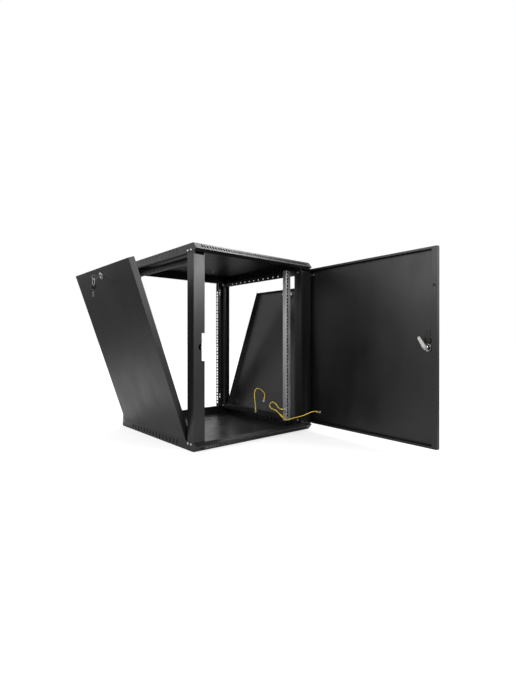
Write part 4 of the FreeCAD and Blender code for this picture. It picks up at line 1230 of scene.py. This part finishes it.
def split_ring():
    """A split ring about X with its top at the origin: flat wire wound twice."""
    section = start_circle(4, 1.0, False)
    turn(45, "Z")
    turn(90, "X")
    spread(RING_HALF * math.sqrt(2), 1, RING_WIRE * math.sqrt(2))
    move(x=RING_RADIUS, z=-0.8)
    ring = coil(section, 2, RING_PITCH, 56)
    shift(ring, z=-RING_RADIUS, first=ALONG_X @ Matrix.Rotation(math.radians(200), 4, "Z"))
    return ease(ring, 0.15, 1, 50)


def spare_head():
    """The spare key's moulded head in the plane Y = 0, the wire at the origin, and its foot's height."""
    hole = -(SPARE_HOLE - RING_HALF - 0.3)
    centre = hole - (SPARE_HEAD - SPARE_HOLE - 2 * RING_HALF)
    head = start_circle(48, SPARE_HEAD)
    # The head tapers to its neck and is flattened at the shoulders, heart-shaped from the side.
    pick(head, lambda place: place.y < -3, "VERT")
    spread(0.78, 1.08)
    pick(head, lambda place: place.y > 6 and abs(place.x) < 3, "VERT")
    move(y=-0.9)
    shift(thicken(head, SPARE_SHEET), y=SPARE_SHEET / 2, z=centre, first=FORWARD)
    cutter = turned([(SPARE_HOLE + 0.6, -4), (SPARE_HOLE + 0.6, 4)])
    cut(head, shift(cutter, z=hole, first=FORWARD))
    return ease(head, 0.9, 3), centre - SPARE_HEAD


class CABINET_OT_keys(bpy.types.Operator):
    """Makes the key, the split ring and the spare key"""
    bl_idname = "cabinet.keys"
    bl_label = "Keys"

    def execute(self, context):
        at, outward, _ = lock_frame("left")
        set_down(flat_key(), [upright_place(at, outward)], "panel_key_flat", "nickel", "panel_key")
        ring_place = Matrix.Translation(joint_point("key_ring_swing"))
        set_down(split_ring(), [ring_place], "key_ring_split", "nickel", "key_ring")
        place = Matrix.Translation(joint_point("spare_key_swing"))
        head, foot = spare_head()
        set_down(head, [place], "spare_key_head", "plastic", "spare_key")
        blade = shift(ease(key_blade(SPARE_BLADE), 0.2), z=foot, first=Matrix.Rotation(math.pi / 2, 4, "Z"))
        set_down(blade, [place], "spare_key_blade", "nickel", "spare_key")
        return {"FINISHED"}


# ---------------------------------------------------------------- earthing

STUD = 3.0
STUD_HEIGHT = 8.0
EYE = 6.0
EYE_SHEET = 1.0
CRIMP = 3.0
CRIMP_LENGTH = 12.0
SLEEVE_LENGTH = 8.8
SLEEVE_BORE = 1.9


def terminal_places():
    """Each terminal's place and its nodes' ending: the eye on its sheet, its barrel along +Y."""
    door_in = -Vector(JOINTS["door_lock_turn"]["axis"])
    panel_in = -Vector(JOINTS["right_lock_turn"]["axis"])
    left = Vector((-1, 0, 0))
    ends = (("earth_lead_panel", 0, 1, left, "s_frame"),
            ("earth_lead_rail", 0, 1, left, "s_frame"),
            ("earth_lead_panel", -1, -2, panel_in, "_panel"),
            ("earth_lead_door", -1, -2, door_in, "_door"))
    places = []
    for route, end, tail, normal, ending in ends:
        last, before = (Vector(LEAD_ROUTES[route][i]) for i in (end, tail))
        along = (before - last).normalized()
        at = (last - normal * CRIMP - along * (EYE + CRIMP_LENGTH)) * MM
        places.append((upright_place(at, normal, along), ending))
    return places


def ring_terminal():
    """A ring terminal: flat eye, tongue that rises into a crimped barrel."""
    bore = STUD + 0.15
    eye = turned([(bore, 0), (EYE, 0), (EYE, EYE_SHEET), (bore, EYE_SHEET)], 40, True)
    tongue = block(-2.4, 2.4, STUD + 1.2, EYE + 4, 0, EYE_SHEET)
    edit(tongue)
    pick(tongue, lambda centre: centre.y > EYE + 3.9)
    spread(1.1, 1, 2.2, (0, EYE + 4, 0))
    finish_editing(tongue)
    barrel = turned([(2.2, 0), (2.7, 0.4), (2.7, 1.4), (2.2, 2.4), (2.2, 3.6), (2.7, 4.6), (2.7, 5)], 28)
    shift(barrel, 0, EYE, CRIMP, BACKWARD)
    return smooth(gather([ease(eye, 0.2, 1), tongue, barrel]), 40)


def terminal_sleeve():
    """The terminal's insulating sleeve over barrel and lead, pinched by the crimp."""
    sleeve = turned([(SLEEVE_BORE, 0), (2.8, 0), (CRIMP, 0.4), (CRIMP, 1.8), (2.6, 2.6), (2.6, 4.2),
                     (CRIMP, 5.2), (CRIMP, 8.4), (2.8, SLEEVE_LENGTH), (SLEEVE_BORE, SLEEVE_LENGTH)],
                    28, True)
    shift(sleeve, 0, EYE + CRIMP_LENGTH - SLEEVE_LENGTH, CRIMP, BACKWARD)
    return smooth(sleeve, 50)


def splice_sleeve(length):
    """The in-line connector's sleeve, pinched over both leads' ends."""
    left = [(2.7, 0), (CRIMP, 0.5), (CRIMP, 3), (2.5, 4.2), (2.5, 6.2), (CRIMP, 7.6)]
    right = [(radius, length - height) for radius, height in reversed(left)]
    return smooth(turned([(SLEEVE_BORE, 0), *left, *right, (SLEEVE_BORE, length)], 32, True), 50)


def earth_stud():
    """A welded stud with its washer and nut over a terminal's eye."""
    top = EYE_SHEET + 0.9
    washer = turned([(5.4, EYE_SHEET), (5.6, EYE_SHEET + 0.2), (5.6, EYE_SHEET + 0.7), (5.4, top)], 36)
    nut = hexagon(BOLT_FLATS, top, EYE_SHEET + 4.4)
    weld = turned([(STUD + 1.2, 0), (STUD + 0.4, 0.5), (STUD - 0.2, EYE_SHEET)], 28)
    return smooth(gather([threaded(STUD, 0, STUD_HEIGHT), washer, nut, weld]))


class CABINET_OT_earthing(bpy.types.Operator):
    """Makes the earth studs, the ring terminals and the in-line connector"""
    bl_idname = "cabinet.earthing"
    bl_label = "Earth studs and terminals"

    def execute(self, context):
        for number, (place, ending) in enumerate(terminal_places(), 1):
            terminal = "earth_terminal" + ending
            set_down(earth_stud(), [place], "earth_stud_fine_%d" % number, "zinc", "earth_stud" + ending)
            set_down(ring_terminal(), [place], "ring_terminal_%d" % number, "tin", terminal)
            set_down(terminal_sleeve(), [place], "terminal_sleeve_%d" % number, "sleeve", terminal)
        start = Vector(LEAD_ROUTES["earth_lead_rail"][-1])
        along = Vector(LEAD_ROUTES["earth_lead_door"][0]) - start
        place = upright_place(start * MM, along)
        set_down(splice_sleeve(along.length), [place], "earth_connector", "sleeve", "earth_splice")
        return {"FINISHED"}


# ---------------------------------------------------------------- stage

CAMERA_PLACE = (-1.08393, -1.53512, 0.39200)
CAMERA_HEADING = 40.427
LENS = 21.686
SHIFT = (0.00904, -0.00551)
# Each lamp's name, place, target, side in metres and power in watts.
LAMPS = (("key", (1.5, -2.9, 1.5), (0, -0.2, 0.4), 1.2, 42),
         ("front", (-2.0, -3.2, 1.9), (0.1, -0.2, 0.3), 1.4, 62),
         ("top", (1.25, 0.17, 2.5), (-0.1, -0.3, 0.7), 0.7, 16),
         ("side", (-3.4, 0.9, 1.6), (0.2, -0.5, 0.5), 1.6, 28))
WORLD_LIGHT = 0.9
WORLD_SHEEN = 0.85
FLOOR_SIDE = 60
FLOOR_DROP = 0.5
FLOOR_FAR_SHARE = 0.3


def floor_paper(name, colour, far_share):
    """Pale matt paper, darker farther from the cabinet and lifted towards white for the camera."""
    material, tree, shader = new_material(name, base_color=colour, roughness=0.9)
    shader.inputs["Specular IOR Level"].default_value = 0.0
    place = add_node(tree, "ShaderNodeTexCoord")
    away = add_node(tree, "ShaderNodeVectorMath", {0: place.outputs["Object"]}, operation="LENGTH")
    distance = away.outputs["Value"]
    far = spread_value(tree, distance, 0.0, 1.0, 0.6, 2.2, interpolation_type="SMOOTHSTEP")
    add_colour(tree, shader, far, colour, scaled(colour, far_share))
    # A ring of the floor round the cabinet's foot glows for reflected rays only: a painted reflection that
    # brightens the sheets which mirror it.
    ray = add_node(tree, "ShaderNodeLightPath")
    edge = spread_value(tree, distance, 0.0, 0.3, 0.42, 0.56)
    near = spread_value(tree, distance, edge, 0.0, 0.56, 1.2)
    painted_reflection = add_node(tree, "ShaderNodeMath", {0: near, 1: ray.outputs["Is Glossy Ray"]},
                        operation="MULTIPLY")
    seen = spread_value(tree, far, 0.55, 1.0, 0.0, 1.0)
    lift = spread_value(tree, ray.outputs["Is Camera Ray"], painted_reflection.outputs["Value"], seen, 0.0, 1.0)
    glow = add_node(tree, "ShaderNodeEmission", {"Strength": lift})
    total = add_node(tree, "ShaderNodeAddShader", {0: shader.outputs[0], 1: glow.outputs[0]})
    tree.links.new(total.outputs[0], tree.nodes["Material Output"].inputs["Surface"])
    return material


def area_light(name, place, target, side, watts):
    """A soft square lamp that faces a point."""
    data = bpy.data.lights.new(name, "AREA")
    data.shape = "SQUARE"
    data.size = side
    data.energy = watts
    lamp = bpy.data.objects.new(name, data)
    lamp.location = place
    lamp.rotation_euler = (Vector(target) - Vector(place)).to_track_quat("-Z", "Y").to_euler()
    bpy.context.scene.collection.objects.link(lamp)


def make_world(sheen, light):
    """A white surround: full white for the camera, softer for reflections and for light."""
    world = bpy.data.worlds.new("surround")
    bpy.context.scene.world = world
    world.use_nodes = True
    tree = world.node_tree
    back = tree.nodes["Background"]
    ray = add_node(tree, "ShaderNodeLightPath")
    unseen = spread_value(tree, ray.outputs["Is Glossy Ray"], light, sheen, 0.0, 1.0)
    strength = spread_value(tree, ray.outputs["Is Camera Ray"], unseen, 1.0, 0.0, 1.0)
    back.inputs["Color"].default_value = (1, 1, 1, 1)
    tree.links.new(strength, back.inputs["Strength"])


class CABINET_OT_stage(bpy.types.Operator):
    """Makes the floor, the lamps, the white surround and the camera"""
    bl_idname = "cabinet.stage"
    bl_label = "Stage"

    def execute(self, context):
        scene = context.scene
        scene.view_settings.view_transform = "Standard"
        deselect()
        bpy.ops.mesh.primitive_plane_add(size=FLOOR_SIDE, location=(0, 0, -FLOOR_DROP * MM))
        floor = context.object
        floor.name = "floor"
        floor.data.materials.append(floor_paper("floor_paper", tuple(colours().floor), FLOOR_FAR_SHARE))
        for lamp in LAMPS:
            area_light(*lamp)
        make_world(WORLD_SHEEN, WORLD_LIGHT)
        camera = bpy.data.cameras.new("camera")
        camera.lens = LENS
        camera.sensor_width = 36
        camera.shift_x, camera.shift_y = SHIFT
        camera.clip_end = 100
        viewer = bpy.data.objects.new("camera", camera)
        viewer.location = CAMERA_PLACE
        viewer.rotation_euler = (math.radians(90), 0, -math.radians(CAMERA_HEADING))
        scene.collection.objects.link(viewer)
        scene.camera = viewer
        return {"FINISHED"}


# ---------------------------------------------------------------- add-on

PIECE_OPERATORS = (CABINET_OT_sheets, CABINET_OT_door, CABINET_OT_panels, CABINET_OT_fasteners,
                   CABINET_OT_locks, CABINET_OT_keys, CABINET_OT_earthing, CABINET_OT_leads,
                   CABINET_OT_stage)


class CABINET_PT_sidebar(bpy.types.Panel):
    """Lists the cabinet's operators"""
    bl_idname = "CABINET_PT_sidebar"
    bl_label = "Network cabinet"
    bl_space_type = "VIEW_3D"
    bl_region_type = "UI"
    bl_category = "Cabinet"

    def draw(self, context):
        for operator in PIECE_OPERATORS:
            self.layout.operator(operator.bl_idname)


CLASSES = (CabinetSizes, CabinetColours, CabinetSettings, *PIECE_OPERATORS, CABINET_PT_sidebar)


def register():
    """Registers the classes and the settings."""
    for item in CLASSES:
        bpy.utils.register_class(item)
    bpy.types.Scene.cabinet = bpy.props.PointerProperty(type=CabinetSettings)


def unregister():
    """Takes the settings and the classes away again."""
    del bpy.types.Scene.cabinet
    for item in reversed(CLASSES):
        bpy.utils.unregister_class(item)


def main():
    """Makes every piece in order."""
    register()
    MATERIALS.update(make_materials())
    for operator in PIECE_OPERATORS:
        group, name = operator.bl_idname.split(".")
        getattr(getattr(bpy.ops, group), name)()


if __name__ == "__main__":
    main()
